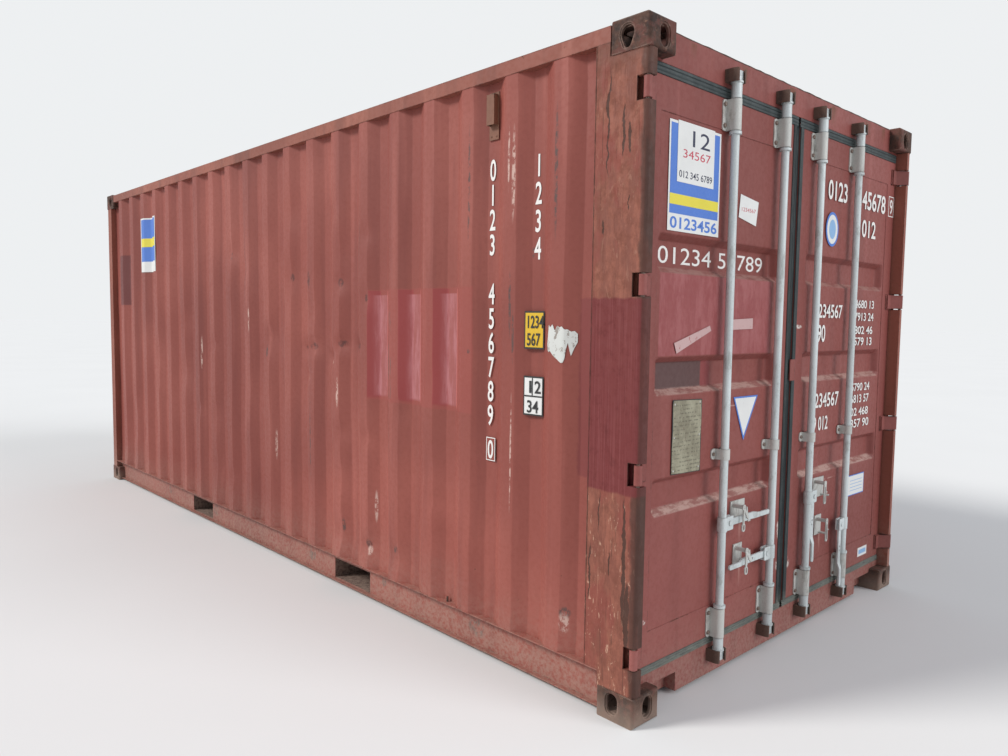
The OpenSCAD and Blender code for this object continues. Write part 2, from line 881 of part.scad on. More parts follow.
// A cross member is a channel that opens to the door end
module beam(x) {
    half = face_y - rail_top;
    z = beam_z - beam_h;
    block([x, -half, z], [x + beam_t, half, beam_z]);
    block([x, -half, z], [x + beam_w, half, z + beam_t]);
    block([x, -half, beam_z - beam_t], [x + beam_w, half, beam_z]);
}

module cross_members() {
    color("dimgray") difference() {
        for (x = beam_xs) beam(x);
        fitting_space();
    }
}

// Two tunnels across the base, open below between their tie plates
module fork_pockets() {
    half = face_y - rail_top;
    color("dimgray") for (s = [-1, 1]) {
        x = s * pocket_gap / 2;
        for (e = [-1, 1]) {
            w = e > 0 ? x + pocket_w / 2 : x - pocket_w / 2 - rail_t;
            block([w, -half, beam_z - beam_h], [w + rail_t, half, pocket_z2]);
            f = e > 0 ? w : w - beam_w + rail_t;
            block([f, -half, beam_z - beam_h], [f + beam_w, half, beam_z - beam_h + rail_t]);
        }
        block([x - pocket_w / 2 - rail_t, -half, pocket_z2], [x + pocket_w / 2 + rail_t, half, beam_z]);
        for (e = [-1, 1]) {
            y1 = e > 0 ? half - tie_l : -half;
            block([x - pocket_w / 2, y1, beam_z - beam_h],
                [x + pocket_w / 2, y1 + tie_l, beam_z - beam_h + tie_t]);
        }
    }
}

module floor_boards() {
    x1 = -face_x + front_rail_d;
    x2 = door_x - sill_d;
    half = face_y - rail_top - run;
    color("tan") for (s = [-1, 1])
        block([x1, s > 0 ? strip_w / 2 : -half, beam_z], [x2, s > 0 ? half : -strip_w / 2, floor_top]);
}

// Steel strips between the boards and along their edges
module floor_strips() {
    x1 = -face_x + front_rail_d;
    x2 = door_x - sill_d;
    half = face_y - rail_top;
    color("gray") {
        difference() {
            block([x1, -strip_w / 2, beam_z], [x2, strip_w / 2, floor_top]);
            block([x1 - eps, -strip_w / 2 + mid_t, beam_z - eps],
                [x2 + eps, strip_w / 2 - mid_t, floor_top - mid_t]);
        }
        for (s = [-1, 1])
            block([x1, s > 0 ? half - strip_w : -half, floor_top],
                [x2, s > 0 ? half : -half + strip_w, floor_top + strip_t]);
    }
}

// A small box with an opening in its underside, on an inner ridge of the side wall
module ventilator() {
    side = vent_w / 2 - vent_rim;
    low = vent_h * vent_open;
    high = vent_h - 2 * vent_rim;
    block([-vent_w / 2, 0, 0], [vent_w / 2, vent_t, vent_h]);
    difference() {
        block([-side, vent_t, low], [side, vent_d, high]);
        block([-side + vent_t, 0, low - eps], [side - vent_t, vent_d - vent_t, high - vent_t]);
    }
}

// The inner ridge nearest to a wanted place along the wall, counted from the rear post
function inner_mid(d) =
    let (first = rear_post_x - stub_w - 2 * slope_w - ridge_w - inner_w / 2)
    first - round((first - hl + d) / wall_pitch) * wall_pitch;

module ventilators() {
    z = top_rail_z - vent_h - vent_gap;
    color("sienna") {
        translate([inner_mid(vent_x), -wall_in, z]) mirror([0, 1, 0]) ventilator();
        translate([inner_mid(length - vent_x), wall_in, z]) ventilator();
    }
}

// A thick C that opens outwards round the cam, cut flat at the frame and at the front
module keeper() {
    out = keeper_r + keeper_t;
    linear_extrude(keeper_h, center = true) intersection() {
        difference() {
            union() {
                circle(out);
                translate([-bar_off, -out]) square([bar_off, 2 * out]);
            }
            circle(keeper_r);
            translate([0, -mouth_w]) square([out + eps, 2 * mouth_w]);
        }
        translate([-bar_off, -out]) square([bar_off + face_x - bar_x, 2 * out]);
    }
}

module cam_keepers() {
    color("saddlebrown") for (y = bar_ys, z = [cam_z1, cam_z2]) translate([bar_x, y, z]) keeper();
}

module hinge_pins() {
    color("gray") for (s = [-1, 1], z = hinge_zs)
        translate([pin_x, s * pin_y, z]) cylinder(r = pin_r, h = cut_h, center = true);
}

// A short peg on the bottom rail that holds the opened door's chain
module door_hooks() {
    color("dimgray") for (s = [-1, 1])
        translate([inner_mid(hook_x), s * (face_y - rail_top / 2), rail_top_z])
            cylinder(r = hook_r, h = hook_h);
}

// Each leaf is drawn as the left one, and mirrored for the right
module leaf_frame() {
    x1 = door_x - leaf_d;
    square_tube([x1, -leaf_out, leaf_z1], [door_x, -leaf_out + stile_w, leaf_z2], tube_t, 2);
    square_tube([x1, -leaf_mid - stile_w, leaf_z1], [door_x, -leaf_mid, leaf_z2], tube_t, 2);
    square_tube([x1, -leaf_out + stile_w, leaf_z1], [door_x, -leaf_mid - stile_w, panel_z1], tube_t, 1);
    square_tube([x1, -leaf_out + stile_w, panel_z2], [door_x, -leaf_mid - stile_w, leaf_z2], tube_t, 1);
}

module door_frame_left() {
    color(steel) leaf_frame();
}

module door_frame_right() {
    color(steel) right_side() leaf_frame();
}

module band(i) {
    l = leaf_out - leaf_mid - 2 * stile_w - 2 * band_margin;
    z = (panel_z1 + panel_z2) / 2 + (i - (bands - 1) / 2) * band_pitch;
    translate([panel_x, -(leaf_out + leaf_mid) / 2, z]) rotate([90, 0, 90])
        pressing(l, band_h, band_d, band_end, band_slope);
}

// A sheet with pressed bands that run across it
module leaf_panel() {
    difference() {
        union() {
            block([panel_x - panel_t, stile_w - leaf_out, panel_z1],
                [panel_x, -leaf_mid - stile_w, panel_z2]);
            for (i = [0 : bands - 1]) translate([-panel_t, 0, 0]) band(i);
        }
        for (i = [0 : bands - 1]) band(i);
    }
}

module door_panel_left() {
    color("indianred") leaf_panel();
}

module door_panel_right() {
    color("indianred") right_side() leaf_panel();
}

module leaf_seal() {
    x2 = door_x - seal_inset;
    x1 = x2 - seal_d;
    difference() {
        block([x1, -channel_y + seal_clear, sill_top + seal_clear],
            [x2, -seal_gap / 2, header_z - seal_clear]);
        block([x1 - eps, -leaf_out, leaf_z1], [x2 + eps, -leaf_mid, leaf_z2]);
    }
}

module door_seal_left() {
    color("darkslategray") leaf_seal();
}

module door_seal_right() {
    color("darkslategray") right_side() leaf_seal();
}

// Outline of a hinge blade seen from above, measured from the pin
module blade_outline() {
    back = door_x - pin_x;
    front = back + blade_t;
    start = pin_y - leaf_out;
    reach = pin_y - channel_y + blade_reach;
    neck = pin_in - cut_d + blade_gap;
    elbow = start + blade_t;
    difference() {
        union() {
            circle(eye_r);
            polygon([[back, start], [back, reach], [front, reach], [front, elbow],
                [eye_r, elbow + front - eye_r], [eye_r, 0], [-eye_r, 0],
                [neck, -neck - eye_r], [neck, start + back - neck + blade_gap]]);
        }
        circle(pin_r + run);
    }
}

module leaf_hinges() {
    for (z = hinge_zs) translate([pin_x, -pin_y, z])
        linear_extrude(blade_h, center = true) blade_outline();
}

module door_hinges_left() {
    color(steel) leaf_hinges();
}

module door_hinges_right() {
    color(steel) right_side() leaf_hinges();
}

// A strap over the bar on a flat base, with its inside open for the bar
module bracket(h, base_x) {
    off = bar_x - base_x;
    r = bar_r + run + bracket_t;
    intersection() {
        linear_extrude(h, center = true) difference() {
            union() {
                circle(r);
                translate([-off, -r]) square([off, 2 * r]);
                translate([-off, -bracket_w]) square([bracket_t, 2 * bracket_w]);
            }
            circle(bar_r + run);
            translate([-off - eps, -bar_r - run]) square([off + eps, 2 * (bar_r + run)]);
        }
        translate([-off, -bracket_w, -h / 2]) rotate([90, 0, 90])
            linear_extrude(off + r) round_rect(2 * bracket_w, h, bracket_round);
    }
}

// Retainer: a base plate on the door, the catch's pin and the ledge under the handle
module retainer(i) {
    way = ways[i];
    y = bar_ys[i] + way * (hub_out + catch_outs[i]);
    z = hub_zs[i];
    y2 = bar_ys[i] + way * (hub_out + ledge_out);
    base = [min(y, y2) - retainer_rim, max(y, y2) + retainer_rim];
    ledge_z = z - handle_w / 2 - run;
    block([panel_x, base[0], ledge_z - 2 * ledge_t],
        [panel_x + bracket_t, base[1], z + catch_up + retainer_rim]);
    block([panel_x, y2 - ledge_w / 2, ledge_z - ledge_t],
        [handle_x + handle_t, y2 + ledge_w / 2, ledge_z]);
    translate([panel_x, y, z + catch_up]) rotate([0, 90, 0]) {
        cylinder(r = catch_boss, h = catch_x - run - panel_x);
        cylinder(r = catch_pin, h = catch_x + catch_t - panel_x);
    }
}

module bar_brackets(side) {
    for (i = side < 0 ? [0, 1] : [2, 3]) {
        for (z = [bracket_z1 + bracket_h / 2, bracket_z2 - bracket_h / 2])
            translate([bar_x, bar_ys[i], z]) bracket(bracket_h, door_x);
        translate([bar_x, bar_ys[i], strap_z]) bracket(strap_h, panel_x);
        retainer(i);
    }
}

module bar_brackets_left() {
    color(zinc) bar_brackets(-1);
}

module bar_brackets_right() {
    color(zinc) bar_brackets(1);
}

module door_lap_plate() {
    color(steel) block([door_x, lap_in, lap_z - lap_h / 2],
        [door_x + lap_t, lap_in + lap_w, lap_z + lap_h / 2]);
}

module cam() {
    intersection() {
        linear_extrude(cam_h, center = true) square([2 * cam_w, 2 * cam_l], center = true);
        cylinder(r = cam_l, h = cam_h + 2 * eps, center = true);
    }
}

// Places of the rings round a bar: z, radius and height of each
bar_rings = let (cam1 = cam_z1 + cam_h / 2, cam2 = cam_z2 - cam_h / 2, gap = collar_gap) [
    [cam1 - eps, collar_r, flange_t + eps],
    [cam1, sleeve_r, bracket_z1 - gap - cam1],
    [bracket_z1 + bracket_h + gap, collar_r, collar_h],
    [bracket_z2 - bracket_h - gap - collar_h, collar_r, collar_h],
    [bracket_z2 + gap, sleeve_r, cam2 - bracket_z2 - gap],
    [cam2 - flange_t, collar_r, flange_t + eps]
];

module lock_bar(i) {
    back = handle_x - handle_gap - hub_t - bar_x;
    front = handle_x + handle_t + handle_gap + cheek_t - bar_x;
    translate([bar_x, bar_ys[i], 0]) {
        difference() {
            union() {
                translate([0, 0, cam_z1]) cylinder(r = bar_r, h = cam_z2 - cam_z1);
                for (ring = bar_rings) translate([0, 0, ring[0]]) cylinder(r = ring[1], h = ring[2]);
                for (c = [cam_z1, cam_z2]) translate([0, 0, c]) cam();
                translate([0, 0, hub_zs[i]]) scale([1, ways[i], 1]) hub(back, front);
            }
            translate([0, 0, cam_z1 + cam_h / 2]) cylinder(r = bar_r - bar_t, h = cam_z2 - cam_z1 - cam_h);
        }
        translate([back, ways[i] * hub_out, hub_zs[i]]) rotate([0, 90, 0]) {
            cylinder(r = rivet_r, h = front - back);
            translate([0, 0, front - back]) cylinder(r = rivet_r + rivet_t, h = rivet_t);
        }
    }
}

// A hub holds the handle's end between two cheeks, joined by a web at the bar
module hub(back, front) {
    web = hub_out - handle_w / 2 - handle_gap;
    cylinder(r = collar_r - rivet_t, h = hub_h, center = true);
    translate([back, 0, -hub_h / 2]) rotate([90, 0, 90]) linear_extrude(hub_t)
        round_rect(hub_out + hub_reach, hub_h, hub_round);
    translate([front - cheek_t, 0, -hub_h / 2]) rotate([90, 0, 90]) linear_extrude(cheek_t)
        round_rect(hub_out + hub_reach, hub_h, hub_round);
    block([back, 0, -hub_h / 2], [front, web, hub_h / 2]);
}

module lock_bar_1() {
    color(zinc) lock_bar(0);
}

module lock_bar_2() {
    color(zinc) lock_bar(1);
}

module lock_bar_3() {
    color(zinc) lock_bar(2);
}

module lock_bar_4() {
    color(zinc) lock_bar(3);
}

// A handle lies along +Y from its pivot: a flat strip, a bend away from the door, and a narrower grip
module handle() {
    w = handle_w / 2;
    g = grip_w / 2;
    bend = grip_from - bend_l;
    difference() {
        intersection() {
            rotate([90, 0, 90]) linear_extrude(handle_t + grip_off) {
                circle(w);
                polygon([[0, -w], [bend, -w], [grip_from, -g], [handle_l - g, -g],
                    [handle_l - g, g], [grip_from, g], [bend, w], [0, w]]);
                translate([handle_l - g, 0]) circle(g);
            }
            linear_extrude(handle_w, center = true)
                polygon([[0, -w], [handle_t, -w], [handle_t, bend - handle_t / 2],
                    [handle_t + grip_off, grip_from - handle_t / 2], [handle_t + grip_off, handle_l],
                    [grip_off, handle_l], [grip_off, grip_from], [0, bend]]);
        }
        translate([-eps, 0, 0]) rotate([90, 0, 90]) linear_extrude(handle_t + 2 * eps) {
            circle(rivet_r + run);
            for (k = [0, 1]) translate([hole_from + k * hole_gap, 0]) circle(lock_hole);
        }
    }
}

// The left door's handles lie level in their catches, the right door's hang down
module placed_handle(i) {
    turn = bar_ys[i] > 0 ? -90 : (ways[i] > 0 ? 0 : 180);
    translate([handle_x, bar_ys[i] + ways[i] * hub_out, hub_zs[i]]) rotate([turn, 0, 0]) handle();
}

module handle_1() {
    color(zinc) placed_handle(0);
}

module handle_2() {
    color(zinc) placed_handle(1);
}

module handle_3() {
    color(zinc) placed_handle(2);
}

module handle_4() {
    color(zinc) placed_handle(3);
}

// A hooked catch straddles the handle's strip with two arms, and ends in a loop under it
module hooked_catch() {
    drop = catch_up + handle_w / 2 + loop_w / 2;
    knee = [catch_up / 2, -catch_up + handle_w / 2];
    circle(catch_eye);
    arm([0, 0], knee, catch_w);
    arm([catch_up / 2 - catch_w / 2, 0], knee, prong_w);
    arm(knee, knee + [catch_w, -handle_w / 2], prong_w);
    translate(knee) circle(knee_r);
    arm([0, 0], [0, -drop + loop_w / 2 - loop_t / 2], prong_w);
    difference() {
        strip([0, -drop], [0, -drop - loop_w / 2], loop_w);
        strip([0, -drop], [0, -drop - loop_w / 2], loop_w - 2 * loop_t);
    }
}

// A catch that hangs open: a slotted link
module slotted_catch() {
    difference() {
        union() {
            circle(catch_eye);
            strip([0, 0], [0, -link_l], link_w);
        }
        strip([0, -link_w], [0, -link_l + loop_t / 2], link_w - 2 * loop_t);
    }
}

// A catch hangs from its pin in front of the handle
module catch(i) {
    y = bar_ys[i] + ways[i] * (hub_out + catch_outs[i]);
    translate([catch_x, y, hub_zs[i] + catch_up]) {
        rotate([90, 0, 90]) linear_extrude(catch_t) difference() {
            if (bar_ys[i] > 0) slotted_catch();
            else hooked_catch();
            circle(catch_pin + run);
        }
        if (bar_ys[i] > 0) translate([catch_t / 2, link_w / 2 - eps, -link_l / 2]) rotate([-90, 0, 0])
            cylinder(r = catch_t / 2, h = peg_l);
    }
}

module catch_1() {
    color(zinc) catch(0);
}

module catch_2() {
    color(zinc) catch(1);
}

module catch_3() {
    color(zinc) catch(2);
}

module catch_4() {
    color(zinc) catch(3);
}

bottom_corner_fittings();
top_corner_fittings();
front_post_left();
front_post_right();
rear_post_left();
rear_post_right();
bottom_side_rail_left();
bottom_side_rail_right();
top_side_rail_left();
top_side_rail_right();
front_bottom_rail();
front_top_rail();
door_sill();
door_header();
side_wall_left();
side_wall_right();
front_wall();
roof_panel();
roof_corner_plates();
cross_members();
fork_pockets();
floor_boards();
floor_strips();
ventilators();
cam_keepers();
hinge_pins();
door_hooks();
door_frame_left();
door_frame_right();
door_panel_left();
door_panel_right();
door_seal_left();
door_seal_right();
door_hinges_left();
door_hinges_right();
bar_brackets_left();
bar_brackets_right();
door_lap_plate();
lock_bar_1();
lock_bar_2();
lock_bar_3();
lock_bar_4();
handle_1();
handle_2();
handle_3();
handle_4();
catch_1();
catch_2();
catch_3();
catch_4();
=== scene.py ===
import math
import random

import bpy
import numpy as np
from mathutils import Matrix, Vector, noise


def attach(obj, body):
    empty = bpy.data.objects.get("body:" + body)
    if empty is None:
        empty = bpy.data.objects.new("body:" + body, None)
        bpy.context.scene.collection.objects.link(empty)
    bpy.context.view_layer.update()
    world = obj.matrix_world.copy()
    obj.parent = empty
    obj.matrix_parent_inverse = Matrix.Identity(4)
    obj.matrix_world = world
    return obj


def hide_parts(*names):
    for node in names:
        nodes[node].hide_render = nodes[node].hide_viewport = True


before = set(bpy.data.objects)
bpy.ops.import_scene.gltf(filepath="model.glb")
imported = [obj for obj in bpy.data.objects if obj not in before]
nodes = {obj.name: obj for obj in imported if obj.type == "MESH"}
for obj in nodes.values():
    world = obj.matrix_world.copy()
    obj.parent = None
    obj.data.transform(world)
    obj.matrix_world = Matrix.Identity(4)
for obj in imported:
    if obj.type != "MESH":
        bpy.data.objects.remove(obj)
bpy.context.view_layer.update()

# ---------------------------------------------------------------- materials


class Shade:
    """A node tree for one material, with short calls for the nodes that it uses."""

    def __init__(self, name):
        self.mat = bpy.data.materials.new(name)
        self.mat.use_nodes = True
        self.tree = self.mat.node_tree
        self.bsdf = self.tree.nodes["Principled BSDF"]
        coords = self.add("ShaderNodeTexCoord").outputs
        self.place = coords["Object"]
        self.out = self.add("ShaderNodeSeparateXYZ", coords["Normal"]).outputs
        self.xyz = self.add("ShaderNodeSeparateXYZ", self.place).outputs
        self.color = None

    def add(self, kind, *inputs, **props):
        node = self.tree.nodes.new(kind)
        for key, value in props.items():
            setattr(node, key, value)
        for i, value in enumerate(inputs):
            if value is not None:
                self.put(node.inputs[i], value)
        return node

    def put(self, socket, value):
        if isinstance(value, bpy.types.NodeSocket):
            self.tree.links.new(value, socket)
        elif hasattr(socket.default_value, "__len__") and len(value) == 3 and len(socket.default_value) == 4:
            socket.default_value = (*value, 1)
        else:
            socket.default_value = value

    def calc(self, op, a, b=None, c=None):
        return self.add("ShaderNodeMath", a, b, c, operation=op).outputs[0]

    def shift(self, scale, offset=(0, 0, 0)):
        return self.add("ShaderNodeMapping", self.place, offset, None, scale).outputs[0]

    def noise(self, scale, detail=3.0, rough=0.5, stretch=(1, 1, 1), offset=(0, 0, 0), warp=0.0):
        node = self.add("ShaderNodeTexNoise")
        self.put(node.inputs["Vector"], self.shift(stretch, offset))
        self.put(node.inputs["Scale"], scale)
        self.put(node.inputs["Detail"], detail)
        self.put(node.inputs["Roughness"], rough)
        self.put(node.inputs["Distortion"], warp)
        return node.outputs["Fac"]

    def cells(self, scale, stretch=(1, 1, 1)):
        node = self.add("ShaderNodeTexVoronoi")
        self.put(node.inputs["Vector"], self.shift(stretch))
        self.put(node.inputs["Scale"], scale)
        return node.outputs["Distance"]

    def ramp(self, value, lo, hi, to_lo=0.0, to_hi=1.0):
        node = self.add("ShaderNodeMapRange", value, lo, hi, to_lo, to_hi, interpolation_type="SMOOTHSTEP")
        return node.outputs[0]

    def mix(self, factor, a, b):
        node = self.add("ShaderNodeMix", data_type="RGBA")
        self.put(node.inputs[0], factor)
        self.put(node.inputs[6], a)
        self.put(node.inputs[7], b)
        return node.outputs[2]

    def times(self, *values):
        out = values[0]
        for value in values[1:]:
            out = self.calc("MULTIPLY", out, value)
        return out

    def most(self, *values):
        out = values[0]
        for value in values[1:]:
            out = self.calc("MAXIMUM", out, value)
        return out

    def coat(self, tone, *masks):
        """Lays a tone over the colour so far, where all the masks are 1."""
        self.color = self.mix(self.times(*masks), self.color, tone)

    def facing(self, axis, sign):
        """1 on the faces that look along an axis of the object, 0 on those that look the other way."""
        return self.ramp(self.out[axis], -0.1 * sign, 0.1 * sign)

    def uneven(self, axis, grain, amount):
        """A coordinate with noise added, so that an edge cut from it is uneven."""
        return self.calc("ADD", self.xyz[axis], self.times(grain, amount))

    def off(self, axis, middle):
        return self.calc("SUBTRACT", self.xyz[axis], middle)

    def square(self, value, radius):
        """The square of a distance that is measured in radii."""
        return self.calc("POWER", self.times(value, 1 / radius), 2.0)

    def window(self, axis, lo, hi, soft=0.004):
        """1 between lo and hi along an axis, with a soft edge."""
        value = self.xyz[axis] if isinstance(axis, int) else axis
        return self.times(self.ramp(value, lo - soft, lo + soft), self.ramp(value, hi + soft, hi - soft))

    def edges(self, radius, lo=0.015, hi=0.12):
        """1 along the outer edges of a shape."""
        bevel = self.add("ShaderNodeBevel", radius, samples=4)
        plain = self.add("ShaderNodeNewGeometry").outputs["Normal"]
        dot = self.add("ShaderNodeVectorMath", bevel.outputs[0], plain, operation="DOT_PRODUCT").outputs["Value"]
        return self.ramp(self.calc("SUBTRACT", 1.0, dot), lo, hi)

    def finish(self, rough, metal=0.0, bump=None, depth=0.001, strength=0.4, bevel=0.0, spec=0.5):
        self.put(self.bsdf.inputs["Base Color"], self.color)
        self.put(self.bsdf.inputs["Roughness"], rough)
        self.put(self.bsdf.inputs["Metallic"], metal)
        self.bsdf.inputs["Specular IOR Level"].default_value = spec
        normal = None
        if bevel:
            normal = self.add("ShaderNodeBevel", bevel, samples=4).outputs[0]
        if bump is not None:
            node = self.add("ShaderNodeBump")
            self.put(node.inputs["Strength"], strength)
            self.put(node.inputs["Distance"], depth)
            self.put(node.inputs["Height"], bump)
            if normal is not None:
                self.put(node.inputs["Normal"], normal)
            normal = node.outputs[0]
        if normal is not None:
            self.put(self.bsdf.inputs["Normal"], normal)
        return self.mat


RUST = (0.085, 0.03, 0.016)
DARK = (0.032, 0.018, 0.014)
PRIMER = (0.33, 0.125, 0.065)
DUST = (0.4, 0.3, 0.24)
RED = (0.266, 0.066, 0.049)
FADED = (0.318, 0.088, 0.066)
DEEP = (0.155, 0.036, 0.029)
DOOR = (0.238, 0.062, 0.052)
DOOR_PALE = (0.275, 0.079, 0.068)

SOOT = (0.07, 0.052, 0.048)
CHALK = (0.6, 0.42, 0.36)


def paint(name, base, faded, deep, wear=0.3, rust=0.3, low_dust=0.5, streak=0.35, bevel=0.003,
          rough=0.55, patches=(), across=False, offset=(0, 0, 0)):
    """Old sprayed paint on steel: faded and streaked, with scratches, bare spots, rust and dust."""
    s = Shade(name)
    s.color = s.mix(s.ramp(s.noise(0.9, 3, 0.55, offset=offset), 0.36, 0.66), base, faded)
    broad = s.noise(0.55, 3, 0.5, offset=(offset[0] + 3, offset[1] + 7, offset[2]))
    s.coat(deep, s.ramp(broad, 0.44, 0.62), 0.35)
    run = s.noise(7.0, 4, 0.6, stretch=(1, 1, 0.07), offset=offset)
    s.coat(deep, s.ramp(run, 0.46, 0.72), streak)
    pale = s.noise(11.0, 3, 0.5, stretch=(1, 1, 0.05), offset=(3, 5, 1))
    s.coat([min(1, c * 1.35 + 0.03) for c in faded], s.ramp(pale, 0.56, 0.74), 0.28)
    mottle = s.noise(48.0, 5, 0.65)
    s.coat([c * 0.72 for c in base], s.ramp(mottle, 0.42, 0.7), 0.22)
    for mask_of, tone, amount in patches:
        s.coat(tone, mask_of(s), amount)
    zone = s.noise(1.7, 3, 0.6, offset=(7, 2, 4))
    down = s.noise(9.0, 5, 0.75, stretch=(11, 11, 0.5), offset=(1, 8, 2))
    scratch = s.times(s.ramp(down, 0.655, 0.7), s.ramp(zone, 0.46, 0.62))
    if across:
        side = s.noise(7.0, 4, 0.7, stretch=(0.6, 0.6, 26), offset=(2, 6, 3))
        scratch = s.most(scratch, s.times(s.ramp(side, 0.7, 0.74), s.ramp(zone, 0.42, 0.6), 0.8))
    s.coat(PRIMER, scratch, min(1.0, wear * 1.6))
    chip_noise = s.noise(30.0, 6, 0.72, offset=(4, 4, 9))
    limit = 0.745 - 0.1 * rust
    chip = s.times(s.ramp(chip_noise, limit, limit + 0.022), s.ramp(zone, 0.4, 0.58))
    edge = s.times(s.edges(0.007), s.ramp(s.noise(16.0, 5, 0.7, offset=(5, 1, 2)), 0.6 - 0.2 * wear,
                                          0.72 - 0.2 * wear))
    bare = s.most(chip, s.times(edge, 0.9))
    halo = s.times(s.ramp(chip_noise, limit - 0.05, limit), s.ramp(zone, 0.4, 0.58), 0.35)
    s.coat([c * 0.6 for c in PRIMER], halo)
    rusty = s.mix(s.ramp(s.noise(70.0, 4, 0.6), 0.4, 0.62), RUST, DARK)
    s.coat(rusty, bare)
    drip = s.noise(13.0, 5, 0.7, stretch=(1, 1, 0.03), offset=(9, 3, 7))
    s.coat(RUST, s.ramp(drip, 0.66, 0.78), s.ramp(zone, 0.44, 0.64), 0.55 * rust + 0.1)
    if low_dust:
        low = s.ramp(s.uneven(2, s.noise(5.0, 4, 0.6), 0.3), 0.62, 0.14)
        s.coat(DUST, low, low_dust, s.ramp(s.noise(60.0, 5, 0.7), 0.3, 0.62))
    glossy = s.ramp(mottle, 0.35, 0.7, rough - 0.06, min(1.0, rough + 0.12))
    glossy = s.calc("MAXIMUM", glossy, s.times(bare, 0.85))
    height = s.calc("SUBTRACT", s.times(mottle, 0.25), s.times(bare, 0.6))
    return s.finish(glossy, bump=height, depth=0.0012, strength=0.5, bevel=bevel, spec=0.35)


def metal(name, base, deep, bevel=0.0015, rust=0.2, rough=0.5, metallic=0.35, grime=0.5):
    """Old zinc or bare steel: spangle, white bloom, grime and a little rust."""
    s = Shade(name)
    s.color = s.mix(s.ramp(s.noise(9.0, 4, 0.6, stretch=(1, 1, 0.3)), 0.35, 0.66), base, [c * 0.8 for c in base])
    s.coat([min(1, c * 1.25) for c in base], s.ramp(s.cells(130.0), 0.1, 0.7), 0.18)
    s.coat(deep, s.ramp(s.noise(20.0, 6, 0.75, stretch=(1, 1, 0.4), offset=(3, 1, 2)), 0.52, 0.68), grime)
    spot = s.noise(33.0, 6, 0.72, offset=(8, 2, 5))
    limit = 0.74 - 0.12 * rust
    mask = s.ramp(spot, limit, limit + 0.04)
    edge = s.times(s.edges(0.004), s.ramp(s.noise(24.0, 5, 0.7), 0.44, 0.62), min(1.0, 0.4 + rust))
    mask = s.most(mask, edge)
    s.coat(s.mix(s.ramp(s.noise(80.0, 3, 0.5), 0.4, 0.6), RUST, (0.14, 0.06, 0.035)), mask)
    fine = s.noise(150.0, 4, 0.6)
    return s.finish(s.ramp(fine, 0.3, 0.7, rough - 0.08, rough + 0.14),
                    s.times(s.calc("SUBTRACT", 1.0, mask), metallic),
                    bump=fine, depth=0.0006, strength=0.35, bevel=bevel)


def cast(name):
    """Rusty cast steel with remains of red-brown paint."""
    s = Shade(name)
    s.color = s.mix(s.ramp(s.noise(14.0, 6, 0.7), 0.36, 0.62), (0.036, 0.021, 0.017), (0.092, 0.044, 0.03))
    kept = s.ramp(s.noise(8.0, 6, 0.7, offset=(4, 2, 6)), 0.5, 0.6)
    s.coat((0.13, 0.046, 0.036), kept, 0.8)
    s.coat((0.2, 0.105, 0.07), s.ramp(s.noise(30.0, 6, 0.75, offset=(1, 7, 3)), 0.6, 0.68), 0.8)
    worn = s.times(s.edges(0.01), s.ramp(s.noise(12.0, 5, 0.7, offset=(6, 6, 1)), 0.4, 0.58))
    s.coat((0.3, 0.2, 0.16), worn, 0.75)
    low = s.ramp(s.uneven(2, s.noise(9.0, 4, 0.6), 0.12), 0.2, 0.05)
    s.coat(DUST, low, 0.45)
    rough = s.noise(95.0, 6, 0.7)
    height = s.calc("ADD", s.times(rough, 0.6), s.noise(22.0, 4, 0.6))
    return s.finish(s.ramp(rough, 0.3, 0.7, 0.62, 0.92), bump=height, depth=0.003, strength=0.6, bevel=0.004,
                    spec=0.3)


# Dark tears along the left post: x, z, half width and half height.
POST_TEARS = ((2.918, 2.2, 0.006, 0.1), (2.852, 2.24, 0.004, 0.21), (2.848, 2.3, 0.01, 0.05),
              (2.946, 2.17, 0.007, 0.06), (2.953, 1.94, 0.003, 0.03), (2.846, 0.79, 0.003, 0.09),
              (2.966, 0.62, 0.009, 0.26), (2.984, 0.42, 0.014, 0.14), (2.83, 1.86, 0.005, 0.03),
              (2.9, 0.6, 0.004, 0.05), (2.8, 0.55, 0.004, 0.12))


